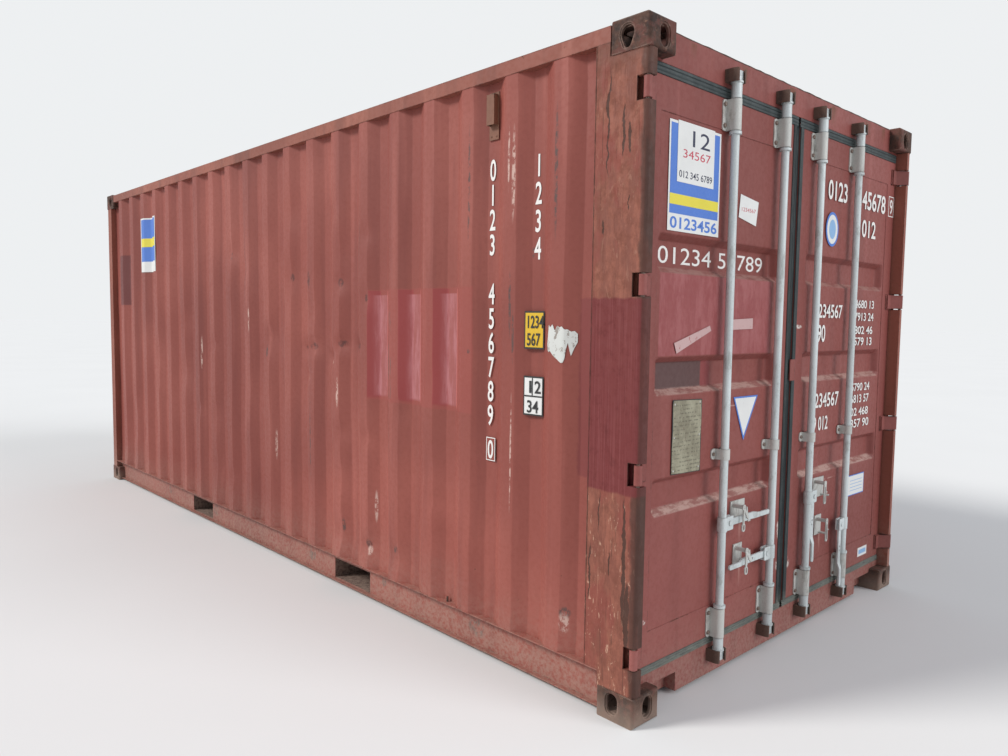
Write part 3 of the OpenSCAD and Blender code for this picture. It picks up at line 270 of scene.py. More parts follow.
def post_paint(name):
    """Scraped orange-brown post: fine scores, dark gouges, a rear face painted darker as shade and mottled like rust,
    and a repainted stretch.
    """
    s = Shade(name)
    grain = s.noise(13.0, 6, 0.75, stretch=(1.6, 1.6, 0.55), offset=(2, 3, 9))
    s.color = s.mix(s.ramp(grain, 0.38, 0.64), (0.195, 0.065, 0.044), (0.285, 0.1, 0.066))
    mottle = s.noise(24.0, 6, 0.75)
    s.coat((0.16, 0.056, 0.036), s.ramp(mottle, 0.47, 0.66), 0.5)
    red = s.ramp(s.noise(4.5, 5, 0.7, stretch=(1, 1, 0.4), offset=(8, 1, 3)), 0.48, 0.56)
    s.coat((0.225, 0.055, 0.042), red, 0.65)
    line = s.noise(15.0, 4, 0.62, stretch=(7, 7, 0.3), offset=(5, 9, 1), warp=0.4)
    torn = s.ramp(s.noise(3.0, 3, 0.6, offset=(4, 4, 4)), 0.44, 0.58)
    s.coat((0.09, 0.038, 0.026), s.ramp(line, 0.61, 0.67), torn, 0.7)
    s.coat((0.43, 0.21, 0.14), s.ramp(line, 0.35, 0.3), 0.4)
    scrape = s.noise(21.0, 5, 0.7, stretch=(2.5, 2.5, 0.7), offset=(7, 7, 2), warp=1.2)
    low = s.ramp(s.xyz[2], 1.0, 0.7)
    s.coat((0.56, 0.34, 0.24), s.ramp(scrape, 0.6, 0.64), s.calc("MULTIPLY_ADD", low, 0.6, 0.15))
    sway = s.times(s.calc("SUBTRACT", s.noise(9.0, 4, 0.7), 0.5), 0.05)
    tear = s.most(*(s.ramp(s.calc("ADD", s.square(s.calc("ADD", s.off(0, x), sway), rx), s.square(s.off(2, z), rz)),
                           1.0, 0.65) for x, z, rx, rz in POST_TEARS))
    s.coat((0.06, 0.028, 0.02), tear, 0.92)
    # Painted shade: the faces that look towards the doors are painted darker, mottled like rust.
    facing = s.add("ShaderNodeSeparateXYZ", s.add("ShaderNodeNewGeometry").outputs["Normal"]).outputs[0]
    shaded_rear_face = s.ramp(facing, 0.35, 0.7)
    patch = s.noise(9.0, 5, 0.72, stretch=(1, 1, 0.35), offset=(1, 4, 6))
    rear = s.mix(s.ramp(patch, 0.5, 0.6), (0.06, 0.028, 0.022), (0.205, 0.064, 0.046))
    s.coat(rear, shaded_rear_face, 0.9)
    rim = s.ramp(s.uneven(0, s.noise(11.0, 5, 0.75, stretch=(1, 1, 0.5)), 0.06), 3.02, 3.036)
    s.coat((0.07, 0.032, 0.024), rim, 0.8)
    ragged = s.uneven(2, s.noise(12.0, 3, 0.5, stretch=(1, 1, 0.1)), 0.03)
    repaint = s.times(s.window(ragged, 0.89, 1.612, 0.006), s.calc("SUBTRACT", 1.0, s.times(shaded_rear_face, 0.6)))
    fine = s.ramp(s.noise(20.0, 3, 0.6, stretch=(12, 12, 0.08), offset=(6, 2, 2)), 0.5, 0.66)
    fresh = s.mix(s.times(fine, 0.4), (0.148, 0.025, 0.026), (0.255, 0.072, 0.073))
    fresh = s.mix(s.times(s.ramp(mottle, 0.5, 0.7), 0.4), fresh, (0.085, 0.02, 0.02))
    s.coat(fresh, repaint, 0.93)
    edge = s.times(s.edges(0.008), s.ramp(s.noise(18.0, 5, 0.7, offset=(3, 1, 8)), 0.4, 0.56))
    s.coat((0.075, 0.034, 0.024), edge, 0.8)
    top = s.ramp(s.uneven(2, s.noise(14.0, 4, 0.7), 0.1), 2.44, 2.52)
    s.coat((0.12, 0.05, 0.034), top, 0.5)
    height = s.calc("SUBTRACT", s.times(grain, 0.4), s.most(tear, s.times(s.ramp(line, 0.59, 0.66), 0.5)))
    return s.finish(s.ramp(mottle, 0.3, 0.7, 0.55, 0.85), bump=height, depth=0.003, strength=0.6, bevel=0.004,
                    spec=0.3)


def wall_mark(x0, x1, z0, z1, soft=0.006):
    """A rectangle of other paint on the left wall, with wavy edges."""
    def mask(s):
        wobble = s.calc("SUBTRACT", s.times(s.noise(30.0, 4, 0.6), 0.02), 0.01)
        return s.times(s.window(s.calc("ADD", s.xyz[0], wobble), x0, x1, soft), s.facing(1, -1),
                       s.window(s.calc("ADD", s.xyz[2], wobble), z0, z1, soft))
    return mask


def band_mark(bands, z0, z1, lo=0.3, hi=0.55, least=0.0):
    """Upright bands on the left wall: each from a soft left edge to a crisp right one, worn by noise."""
    def mask(s):
        whole = s.most(*(s.times(s.ramp(s.xyz[0], left, full), s.ramp(s.xyz[0], right, right - 0.002))
                         for left, full, right in bands))
        low = s.times(s.noise(5.0, 3, 0.6), 0.05)
        worn = s.ramp(s.noise(20.0, 6, 0.75, stretch=(1.6, 1.6, 0.22), offset=(3, 3, 3)), lo, hi, least, 1.0)
        return s.times(whole, worn, s.facing(1, -1), s.ramp(s.calc("SUBTRACT", s.xyz[2], low), z0, z0 + 0.02),
                       s.ramp(s.xyz[2], z1, z1 - 0.004))
    return mask


def door_mark(y0, y1, z0, z1, soft=0.004):
    """A rectangle of other paint on the outer face of a leaf."""
    return lambda s: s.times(s.window(1, y0, y1, soft), s.window(2, z0, z1, soft), s.facing(0, 1))


def worn_door(*place):
    """The same, worn by noise."""
    return lambda s: s.times(door_mark(*place)(s),
                             s.ramp(s.noise(10.0, 5, 0.72, stretch=(1, 1.6, 0.5), offset=(6, 3, 3)), 0.42, 0.62))


def ledges(s):
    """Dust and scrapes on the upward slopes of the pressed bands of a leaf."""
    whole = s.most(*(s.times(s.window(2, z - 0.013, z + 0.01, 0.004), amount)
                     for z, amount in ((0.774, 1.0), (1.244, 0.75), (1.714, 0.4))))
    inside = s.window(s.calc("ABSOLUTE", s.xyz[1]), 0.155, 1.035, 0.006)
    worn = s.ramp(s.noise(26.0, 6, 0.75, stretch=(1, 0.4, 1), offset=(2, 9, 5)), 0.4, 0.56, 0.25, 1.0)
    return s.times(whole, inside, worn, s.facing(0, 1))


def below(*places):
    """Rust runs: each starts at y, z and has a half width and a length downwards."""
    def run(s, y, z, half, long):
        fall = s.times(s.ramp(s.xyz[2], z - long, z), s.ramp(s.xyz[2], z + 0.004, z))
        return s.times(s.ramp(s.calc("ABSOLUTE", s.off(1, y)), half, half * 0.3), fall)
    return lambda s: s.times(s.most(*(run(s, *place) for place in places)), s.facing(0, 1),
                             s.ramp(s.noise(30.0, 5, 0.7, stretch=(1, 1, 0.1)), 0.36, 0.6))


def scuffs(middle, depth, places, flat=1):
    """Scraped spots: middle and depth hold along the axis that they lie across, and places along the other two."""
    def spot(s, a, z, ra, rz):
        sizes = [(a, ra), (z, rz)]
        sizes.insert(flat, (middle, depth))
        x, y, z = (s.square(s.off(axis, place), radius) for axis, (place, radius) in enumerate(sizes))
        return s.ramp(s.calc("ADD", s.calc("ADD", x, y), z), 1.0, 0.2)
    return lambda s: s.times(s.most(*(spot(s, *place) for place in places)),
                             s.ramp(s.noise(42.0, 6, 0.8, stretch=(1, 1, 0.6)), 0.44, 0.54))


def wall_scuffs(*places):
    """Spots on the left wall: x, z, half width and half height."""
    return scuffs(-1.2, 0.1, places)


def leaf_scuffs(depth, *places, x=2.969):
    """Spots on the leaves: y, z, half width and half height."""
    return scuffs(x, depth, places, flat=0)


def rubber(name, base, pale):
    s = Shade(name)
    grey = s.mix(s.times(s.ramp(s.noise(14.0, 5, 0.65, stretch=(1, 1, 0.5)), 0.42, 0.68), 0.5), base, pale)
    low = s.ramp(s.uneven(2, s.noise(9.0, 4, 0.6), 0.1), 0.3, 0.19)
    s.color = s.mix(s.times(low, 0.8, s.ramp(s.noise(40.0, 5, 0.7, stretch=(1, 0.4, 1)), 0.3, 0.6, 0.5, 1.0)), grey,
                    (0.2, 0.205, 0.175))
    fine = s.noise(180.0, 4, 0.6)
    return s.finish(s.ramp(fine, 0.3, 0.7, 0.5, 0.72), bump=fine, depth=0.0008, strength=0.3, bevel=0.0015, spec=0.4)


def timber(name):
    """Marine plywood boards: long grain, board joints and tyre scuffs."""
    s = Shade(name)
    grain = s.noise(6.0, 6, 0.6, stretch=(0.5, 12, 12), warp=0.6)
    s.color = s.mix(s.ramp(grain, 0.35, 0.65), (0.3, 0.19, 0.11), (0.18, 0.105, 0.06))
    s.coat((0.12, 0.09, 0.07), s.ramp(s.noise(2.4, 4, 0.6), 0.45, 0.65), 0.5)
    board = s.calc("FRACT", s.calc("DIVIDE", s.calc("ADD", s.xyz[0], 5.0), 1.2))
    joint = s.ramp(s.calc("ABSOLUTE", s.calc("SUBTRACT", board, 0.5)), 0.4985, 0.4993)
    s.coat((0.03, 0.02, 0.015), joint)
    height = s.calc("SUBTRACT", s.times(grain, 0.3), joint)
    return s.finish(s.ramp(grain, 0.3, 0.7, 0.5, 0.75), bump=height, depth=0.0015, strength=0.5, bevel=0.001)


def engraved(name):
    """A grey-green data plate with rows of small worn marks that can't be read."""
    s = Shade(name)
    tone = s.mix(s.ramp(s.noise(12.0, 6, 0.75), 0.36, 0.64), (0.215, 0.195, 0.135), (0.345, 0.325, 0.235))
    rows = s.ramp(s.calc("ABSOLUTE", s.calc("SUBTRACT", s.calc("FRACT", s.times(s.xyz[2], 62.0)), 0.5)), 0.2, 0.14)
    glyphs = s.ramp(s.noise(150.0, 3, 0.6, stretch=(1, 1, 0.4)), 0.47, 0.53)
    blocks = s.ramp(s.noise(9.0, 2, 0.5, stretch=(1, 1, 3)), 0.36, 0.46)
    s.color = s.mix(s.times(rows, glyphs, blocks, 0.6), tone, (0.075, 0.066, 0.048))
    stain = s.ramp(s.noise(30.0, 6, 0.75, offset=(3, 3, 3)), 0.6, 0.68)
    s.coat((0.13, 0.075, 0.045), stain, 0.7)
    return s.finish(s.ramp(glyphs, 0, 1, 0.5, 0.7), metal=0.25, bump=s.times(rows, glyphs), depth=0.0004,
                    strength=0.3)


def mark_paint(name, tone, worn=0.3, under=RED, rough=0.5):
    """Stencil paint or a printed sticker, worn through to the paint below."""
    s = Shade(name)
    s.color = s.mix(s.times(s.ramp(s.noise(7.0, 4, 0.6), 0.4, 0.7), 0.25), tone, [c * 0.78 for c in tone])
    gone = s.ramp(s.noise(34.0, 6, 0.75, stretch=(1, 1, 0.6)), 0.7 - 0.18 * worn, 0.74 - 0.18 * worn)
    s.coat(under, gone, 0.9)
    fine = s.noise(120.0, 4, 0.6)
    return s.finish(s.ramp(fine, 0.3, 0.7, rough, rough + 0.2), bump=gone, depth=0.0005, strength=0.2)


# Spots on the left wall: x, z, half width and half height.
WALL_SOOT = (
    (2.588, 2.1, 0.012, 0.3), (2.33, 1.58, 0.01, 0.16), (2.35, 1.44, 0.008, 0.14),
    (2.06, 2.1, 0.01, 0.3), (2.437, 1.79, 0.012, 0.03), (1.5, 0.33, 0.02, 0.03), (0.985, 0.36, 0.015, 0.05),
    (0.1, 1.3, 0.012, 0.05), (-0.42, 1.92, 0.01, 0.03), (2.665, 0.34, 0.028, 0.03),
    (1.17, 1.9, 0.006, 0.25), (0.65, 0.8, 0.006, 0.3), (2.062, 1.37, 0.012, 0.012))
# Painted shade in the dents of the left wall: a dark spot where each dent lies.
WALL_DENT_SHADE = (
    (0.864, 1.3, 0.05, 0.028), (0.985, 1.372, 0.045, 0.024), (1.137, 1.365, 0.05, 0.028),
    (0.676, 1.349, 0.042, 0.026), (0.555, 1.339, 0.04, 0.024), (0.967, 1.706, 0.026, 0.03),
    (1.234, 1.62, 0.018, 0.026), (0.64, 1.73, 0.018, 0.06), (1.244, 0.31, 0.03, 0.03),
    (0.42, 1.75, 0.02, 0.03))
WALL_CHALK = (
    (2.345, 2.12, 0.014, 0.22), (2.315, 2.18, 0.008, 0.15), (0.95, 1.1, 0.016, 0.1),
    (-0.15, 1.5, 0.012, 0.1), (1.3, 0.52, 0.012, 0.1), (0.18, 0.72, 0.01, 0.12),
    (-0.95, 1.25, 0.01, 0.14), (2.662, 0.3, 0.026, 0.05), (2.345, 0.95, 0.006, 0.3),
    (0.6, 1.165, 0.026, 0.03), (1.255, 0.275, 0.022, 0.03), (0.9, 1.27, 0.012, 0.014))

# Bands of painted light on the folds of the left wall's repainted rectangle: soft left edge, full tone, right edge.
# Painted shade on the slopes that face the doors.
SLOPE_SHADE = ((1.247, 1.25, 1.33), (1.525, 1.528, 1.61), (1.803, 1.806, 1.885))
# Painted light in the hollows.
HOLLOW_LIGHT = ((1.268, 1.325, 1.388), (1.558, 1.615, 1.668), (1.83, 1.886, 1.944))
# Painted highlight along the fold at the right edge of each hollow.
FOLD_HIGHLIGHT = ((1.386, 1.388, 1.394), (1.666, 1.668, 1.674), (1.942, 1.944, 1.952))

RAIL_SCUFFS = ((2.1, 0.1, 0.07, 0.05), (0.6, 0.1, 0.05, 0.05), (-0.8, 0.1, 0.05, 0.05), (1.35, 0.12, 0.03, 0.03),
               (-1.7, 0.1, 0.04, 0.04))
OLD_LINE = (-1.036, -0.19, 1.383, 1.7)  # repainted stretch of the left leaf, in y and z
SHEET = dict(wear=0.4, streak=0.45, bevel=0.0)  # what the paint of the large sheets has in common

MATS = {
    "wall_left": paint(
        "wall_left_paint", RED, FADED, DEEP, rust=0.35, low_dust=0.25, **SHEET,
        patches=((wall_mark(1.248, 2.088, 1.09, 1.66, 0.003), (0.295, 0.064, 0.052), 0.55),
                 # painted shade on the slopes that face the doors
                 (band_mark(SLOPE_SHADE, 1.07, 1.658, 0.1, 0.3, 0.8), (0.262, 0.04, 0.04), 0.85),
                 # painted light in the hollows
                 (band_mark(HOLLOW_LIGHT, 1.08, 1.635, 0.4, 0.6, 0.35), (0.42, 0.158, 0.165), 0.85),
                 # painted highlight along the folds
                 (band_mark(FOLD_HIGHLIGHT, 1.07, 1.655, 0.1, 0.3, 0.6), (0.52, 0.15, 0.13), 0.7),
                 (band_mark(((1.392, 1.4, 1.47),), 1.07, 1.55, 0.46, 0.56), (0.13, 0.085, 0.075), 0.6),
                 (wall_mark(-2.75, -2.47, 1.605, 2.041), (0.11, 0.026, 0.026), 0.8),
                 (wall_mark(2.7, 2.8, 0.9, 1.6), (0.185, 0.038, 0.036), 0.8),
                 (wall_scuffs(*WALL_SOOT), SOOT, 0.85),
                 # painted shade in the dents
                 (wall_scuffs(*WALL_DENT_SHADE), (0.08, 0.028, 0.024), 0.85),
                 (wall_scuffs(*WALL_CHALK), CHALK, 0.8))),
    "wall_right": paint("wall_right_paint", RED, FADED, DEEP, rust=0.35, low_dust=0.25, offset=(11, 4, 2), **SHEET),
    "wall_front": paint("wall_front_paint", RED, FADED, DEEP, rust=0.4, low_dust=0.25, offset=(4, 11, 2), **SHEET),
    "roof": paint("roof_paint", RED, (0.37, 0.135, 0.11), DEEP, wear=0.4, rust=0.5, low_dust=0.0, bevel=0.0,
                  offset=(2, 4, 12)),
    "rail": paint("rail_paint_worn", (0.27, 0.074, 0.056), FADED, DEEP, wear=0.6, rust=0.6, low_dust=0.45, rough=0.6,
                  patches=((scuffs(-1.17, 0.2, RAIL_SCUFFS), (0.105, 0.085, 0.075), 0.85),)),
    "top_rail": paint("top_rail_paint", (0.255, 0.078, 0.054), (0.31, 0.105, 0.07), (0.135, 0.045, 0.032),
                      wear=0.75, rust=0.8, low_dust=0.0, streak=0.55, rough=0.6),
    "frame": paint("frame_paint", DOOR, DOOR_PALE, DEEP, wear=0.45, rust=0.45, low_dust=0.35, streak=0.5,
                   across=True, offset=(5, 8, 1),
                   patches=((below((-0.48, 2.575, 0.04, 0.12), (-0.08, 2.575, 0.07, 0.14), (0.36, 2.575, 0.04, 0.12),
                                   (0.76, 2.575, 0.05, 0.13), (0.97, 2.575, 0.03, 0.1), (-0.86, 2.575, 0.03, 0.08)),
                             (0.15, 0.046, 0.022), 0.95),)),
    "door": paint("door_panel_paint", DOOR, DOOR_PALE, DEEP, wear=0.35, rust=0.2,
                  low_dust=0.15, bevel=0.0, across=True,
                  patches=((door_mark(*OLD_LINE), (0.268, 0.062, 0.064), 0.85),
                           (worn_door(*OLD_LINE), (0.385, 0.135, 0.135), 0.45),
                           (door_mark(-1.0, -0.69, 1.252, 1.357), (0.06, 0.046, 0.046), 0.75),
                           (door_mark(-0.688, -0.62, 1.252, 1.357), (0.24, 0.04, 0.046), 0.6),
                           (ledges, CHALK, 0.75),
                           (below((-0.395, 0.66, 0.012, 0.2), (-0.385, 0.45, 0.01, 0.13),
                                  (0.4, 0.45, 0.012, 0.13)), (0.5, 0.3, 0.25), 0.5),
                           (leaf_scuffs(0.1, (-0.45, 1.16, 0.14, 0.004), (0.45, 0.72, 0.14, 0.004),
                                        (-0.9, 2.02, 0.06, 0.004), x=2.96), CHALK, 0.45))),
    "leaf": paint("door_frame_paint", DOOR, DOOR_PALE, DEEP, wear=0.5, rust=0.4,
                  low_dust=0.2, across=True,
                  patches=((leaf_scuffs(0.03, (-0.045, 0.54, 0.02, 0.05), (-0.02, 0.37, 0.05, 0.035),
                                        (0.055, 0.36, 0.03, 0.035), (0.07, 1.5, 0.05, 0.012),
                                        (-1.09, 0.36, 0.02, 0.012)), (0.64, 0.58, 0.53), 0.9),)),
    "hinge": paint("hinge_paint", (0.2, 0.052, 0.044), DOOR_PALE, (0.1, 0.03, 0.025), wear=0.8, rust=0.75,
                   low_dust=0.1, streak=0.4, bevel=0.0025, offset=(9, 2, 4)),
    "post": post_paint("post_paint_worn"),
    "post_right": paint("post_right_paint", (0.255, 0.08, 0.054), (0.3, 0.1, 0.068), (0.14, 0.042, 0.03),
                        wear=0.8, rust=0.85, low_dust=0.4, rough=0.62, offset=(3, 3, 8)),
    "fitting": cast("fitting_cast"),
    "base": paint("base_paint", (0.1, 0.055, 0.045), (0.14, 0.08, 0.065), (0.05, 0.03, 0.025), wear=0.6, rust=0.8,
                  low_dust=0.6, rough=0.75),
    "vent": paint("vent_paint", (0.2, 0.085, 0.05), (0.27, 0.12, 0.075), (0.1, 0.045, 0.03), wear=0.5, rust=0.5,
                  low_dust=0.0, bevel=0.0015),
    "zinc": metal("zinc_grey", (0.6, 0.645, 0.645), (0.28, 0.29, 0.27), rust=0.12, rough=0.5, metallic=0.2,
                  grime=0.6),
    "zinc_dull": metal("zinc_dull", (0.55, 0.55, 0.52), (0.24, 0.22, 0.19), rust=0.3, rough=0.58, metallic=0.2,
                       grime=0.7),
    "keeper": metal("keeper_rust", (0.105, 0.06, 0.044), (0.036, 0.024, 0.02), rust=0.9, rough=0.75, metallic=0.1,
                    grime=0.8),
    "pin": metal("pin_steel", (0.22, 0.17, 0.14), (0.09, 0.06, 0.05), rust=0.6, rough=0.55),
    "rubber": rubber("seal_rubber_black", (0.026, 0.036, 0.038), (0.07, 0.085, 0.085)),
    "timber": timber("floor_timber"),
    "plate": engraved("data_plate"),
}

# Marks: material, tone, wear and the paint below.
for key, mark in {
    "white": ("mark_white", (0.78, 0.76, 0.73), 0.25),
    "label": ("label_white", (0.72, 0.72, 0.7), 0.05),
    "blue": ("sticker_blue", (0.075, 0.185, 0.56), 0.05),
    "yellow": ("plate_yellow", (0.66, 0.42, 0.02), 0.1),
    "lemon": ("sticker_lemon", (0.72, 0.62, 0.06), 0.1),
    "black": ("mark_black", (0.02, 0.02, 0.02), 0.1),
    "ink": ("ink_navy", (0.022, 0.026, 0.06), 0.0),
    "sky": ("sticker_sky", (0.24, 0.42, 0.66), 0.1),
    "ink_red": ("ink_red", (0.52, 0.06, 0.09), 0.0),
    "tape": ("tape_pale", (0.52, 0.34, 0.33), 0.55, (0.335, 0.088, 0.09)),
    "torn": ("torn_paper_worn", (0.6, 0.61, 0.58), 0.85, (0.24, 0.2, 0.17)),
}.items():
    MATS[key] = mark_paint(*mark)

# Material of each CAD node by the start of its name; the first that fits holds.
DRESS = (
    ("fitting", ("bottom_corner", "top_corner")),
    ("post", ("rear_post_left",)),
    ("post_right", ("rear_post", "front_post")),
    ("top_rail", ("top_side_rail", "front_top_rail", "roof_corner_plates")),
    ("rail", ("bottom_side_rail", "front_bottom_rail")),
    ("frame", ("door_sill", "door_header")),
    ("hinge", ("door_hinges",)),
    ("leaf", ("door_frame", "door_lap")),
    ("base", ("cross_members", "fork_pockets", "floor_strips")),
    ("vent", ("ventilators",)),
    ("keeper", ("cam_keepers", "door_hooks")),
    ("pin", ("hinge_pins",)),
    ("timber", ("floor_boards",)),
    ("rubber", ("door_seal",)),
    ("zinc_dull", ("catch", "bar_brackets")),
    ("zinc", ("lock_bar", "handle")),
)
for name in nodes:
    for mat, starts in DRESS:
        if name.startswith(starts):
            nodes[name].data.materials.clear()
            nodes[name].data.materials.append(MATS[mat])
            break

# ---------------------------------------------------------------- mesh helpers


def link(name, data):
    """A new object in the scene."""
    obj = bpy.data.objects.new(name, data)
    bpy.context.scene.collection.objects.link(obj)
    return obj


def piece(name, verts, faces, body, mat, smooth=None):
    mesh = bpy.data.meshes.new(name)
    mesh.from_pydata([tuple(v) for v in verts], [], [tuple(f) for f in faces])
    mesh.update()
    mesh.validate()
    obj = link(name, mesh)
    mesh.materials.append(MATS[mat])
    if smooth is not None:
        for poly in mesh.polygons:
            poly.use_smooth = True
        mesh.set_sharp_from_angle(angle=math.radians(smooth))
    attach(obj, body)
    return obj


def rounded_path(points, radius, steps=4):
    """A line of 2-D points with each inner corner rounded."""
    points = [np.array(p, float) for p in points]
    out = [points[0]]
    for a, b, c in zip(points, points[1:], points[2:]):
        u, v = (a - b), (c - b)
        lu, lv = np.linalg.norm(u), np.linalg.norm(v)
        u, v = u / lu, v / lv
        half = math.acos(max(-1, min(1, float(u @ v)))) / 2
        if half > math.radians(88):
            out.append(b)
            continue
        cut = min(radius / math.tan(half), lu * 0.45, lv * 0.45)
        for k in range(steps + 1):
            t = k / steps
            out.append((1 - t) ** 2 * (b + u * cut) + 2 * t * (1 - t) * b + t * t * (b + v * cut))
    out.append(points[-1])
    return np.array(out)


def sheet(name, outer, inner, body, mat, flip=False, hidden=None):
    """A thin sheet with its rims. outer and inner are grids of points, and hidden leaves out covered corners."""
    n, m = outer.shape[:2]
    verts = np.concatenate([outer.reshape(-1, 3), inner.reshape(-1, 3)])

    def at(i, j, side):
        return side * n * m + i * m + j

    faces = []
    for i in range(n - 1):
        for j in range(m - 1):
            faces.append((at(i, j, 0), at(i + 1, j, 0), at(i + 1, j + 1, 0), at(i, j + 1, 0)))
            faces.append((at(i, j, 1), at(i, j + 1, 1), at(i + 1, j + 1, 1), at(i + 1, j, 1)))
        for j in (0, m - 1):
            faces.append((at(i, j, 0), at(i, j, 1), at(i + 1, j, 1), at(i + 1, j, 0))[::1 if j == 0 else -1])
    for j in range(m - 1):
        for i in (0, n - 1):
            faces.append((at(i, j, 0), at(i, j + 1, 0), at(i, j + 1, 1), at(i, j, 1))[::1 if i == 0 else -1])
    if hidden:
        faces = [f for f in faces if not all(hidden(verts[i]) for i in f)]
    if flip:
        faces = [f[::-1] for f in faces]
    return piece(name, verts, faces, body, mat, smooth=40)


def folds(ends, starts, slope, flat, base, deep):
    """A line with a fold at each start: over a slope to deep, along a flat and back to base."""
    line = [(ends[0], base)]
    for e in starts:
        line += [(e, base), (e + slope, deep), (e + slope + flat, deep), (e + 2 * slope + flat, base)]
    return line + [(ends[1], base)]


def grid(path, rows):
    """Tables over a path and rows: place along the path, its depth, and the row."""
    along, depth = (np.repeat(path[:, i][:, None], len(rows), 1) for i in (0, 1))
    return along, depth, np.repeat(rows[None, :], len(path), 0)


def inside(value, lo, hi, margin):
    """0 at both ends of a range and 1 from a margin inside them."""
    return np.clip(np.minimum(value - lo, hi - value) / margin, 0, 1)


def eased(t):
    return t * t * (3 - 2 * t)


def hills(a, b, places):
    """Sum of smooth bumps at places, each (a, b, radius a, radius b, depth)."""
    total = np.zeros_like(a)
    for pa, pb, ra, rb, depth in places:
        total += depth * np.exp(-((a - pa) / ra) ** 2 - ((b - pb) / rb) ** 2)
    return total


def ripple(a, b, scale, seed, amount):
    flat = np.array([noise.noise(Vector((x * scale, y * scale * 0.7, seed))) for x, y in zip(a.ravel(), b.ravel())])
    return flat.reshape(a.shape) * amount


def lerp_levels(z0, z1, step):
    count = max(1, int(round((z1 - z0) / step)))
    return np.linspace(z0, z1, count + 1)


# ---------------------------------------------------------------- side walls

SHEET_T = 0.002
WALL_OUT, WALL_IN = 1.214, 1.178
REAR_X, FRONT_X = 2.788, -2.921
STUB, SLOPE, RIDGE, INNER = 0.08, 0.068, 0.072, 0.07
PITCH = RIDGE + INNER + 2 * SLOPE
RIDGES = 20
WALL_Z = (0.175, 2.523)


def wall_points():
    starts = [REAR_X - STUB - k * PITCH for k in range(RIDGES)]
    path = rounded_path(folds((REAR_X, FRONT_X), starts, -SLOPE, -RIDGE, WALL_IN, WALL_OUT), 0.016, 4)
    out = [path[0]]
    for a, b in zip(path[:-1], path[1:]):
        if abs(b[0] - a[0]) > 0.04:
            out.append((a + b) / 2)
        out.append(b)
    return np.array(out)


WALL_PATH = wall_points()


def wall_depth(x):
    """Distance of the wall's outer face from the middle, at a place along it."""
    return np.interp(x, WALL_PATH[::-1, 0], WALL_PATH[::-1, 1])


def ridge_x(k):
    return REAR_X - STUB - SLOPE - RIDGE / 2 - k * PITCH


def side_wall(name, side, node, mat, dents, seed, step=0.045):
    """side is -1 for the left wall and +1 for the right one."""
    x, y, z = grid(WALL_PATH, lerp_levels(*WALL_Z, step))
    calm = inside(z, *WALL_Z, 0.1)
    push = hills(x, z, dents) + np.abs(ripple(x, z, 1.6, seed, 0.009)) + np.abs(ripple(x, z, 6.0, seed + 3, 0.003))
    push *= calm
    sway = ripple(x, z, 2.2, seed + 9, 0.007) * calm
    outer, inner = (np.stack([x + sway, side * (y - push - t), z], -1) for t in (0, SHEET_T))
    obj = sheet(name, outer, inner, "root", mat, flip=side > 0)
    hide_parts(node)


def random_dents(count, seed, x_range, deep):
    gen = random.Random(seed)
    out = []
    for _ in range(count):
        k = gen.randrange(x_range[0], x_range[1])
        x = ridge_x(k) + gen.choice((-0.04, 0.0, 0.04)) + gen.uniform(-0.01, 0.01)
        out.append((x, gen.uniform(0.35, 2.2), gen.uniform(0.03, 0.07), gen.uniform(0.04, 0.16),
                    gen.uniform(0.004, deep)))
    return out


LEFT_DENTS = [
    (0.975, 0.3, 0.1, 0.12, 0.016), (1.507, 0.28, 0.09, 0.08, 0.016), (0.42, 1.75, 0.05, 0.1, 0.014),
    (0.14, 1.35, 0.05, 0.08, 0.012), (-0.4, 1.95, 0.05, 0.07, 0.013), (0.98, 0.62, 0.05, 0.1, 0.012),
    (-1.25, 1.1, 0.06, 0.12, 0.013), (1.54, 1.05, 0.05, 0.06, 0.01), (-0.7, 0.45, 0.07, 0.1, 0.014),
    (0.864, 1.3, 0.045, 0.04, 0.026), (0.986, 1.371, 0.04, 0.035, 0.022), (1.137, 1.37, 0.045, 0.035, 0.02),
    (0.676, 1.349, 0.04, 0.04, 0.022), (0.552, 1.339, 0.04, 0.035, 0.02), (0.967, 1.706, 0.035, 0.045, 0.016),
    (1.234, 1.624, 0.035, 0.05, 0.012), (0.597, 1.176, 0.04, 0.04, 0.018), (1.244, 0.297, 0.05, 0.05, 0.02),
    (0.984, 0.883, 0.04, 0.05, 0.014), (1.234, 0.89, 0.04, 0.045, 0.014), (1.225, 1.951, 0.035, 0.05, 0.012),
] + random_dents(34, 3, (3, 19), 0.012)
side_wall("wall_left", -1, "side_wall_left", "wall_left", LEFT_DENTS, 2.0, 0.03)
side_wall("wall_right", 1, "side_wall_right", "wall_right", random_dents(30, 5, (0, 20), 0.011), 40.0)

# ---------------------------------------------------------------- front wall

FRONT_OUT, FRONT_D, FRONT_HALF = -3.022, 0.0456, 1.111
F_RIDGE, F_SLOPE, F_INNER, F_COUNT = 0.11, 0.018, 0.104, 8


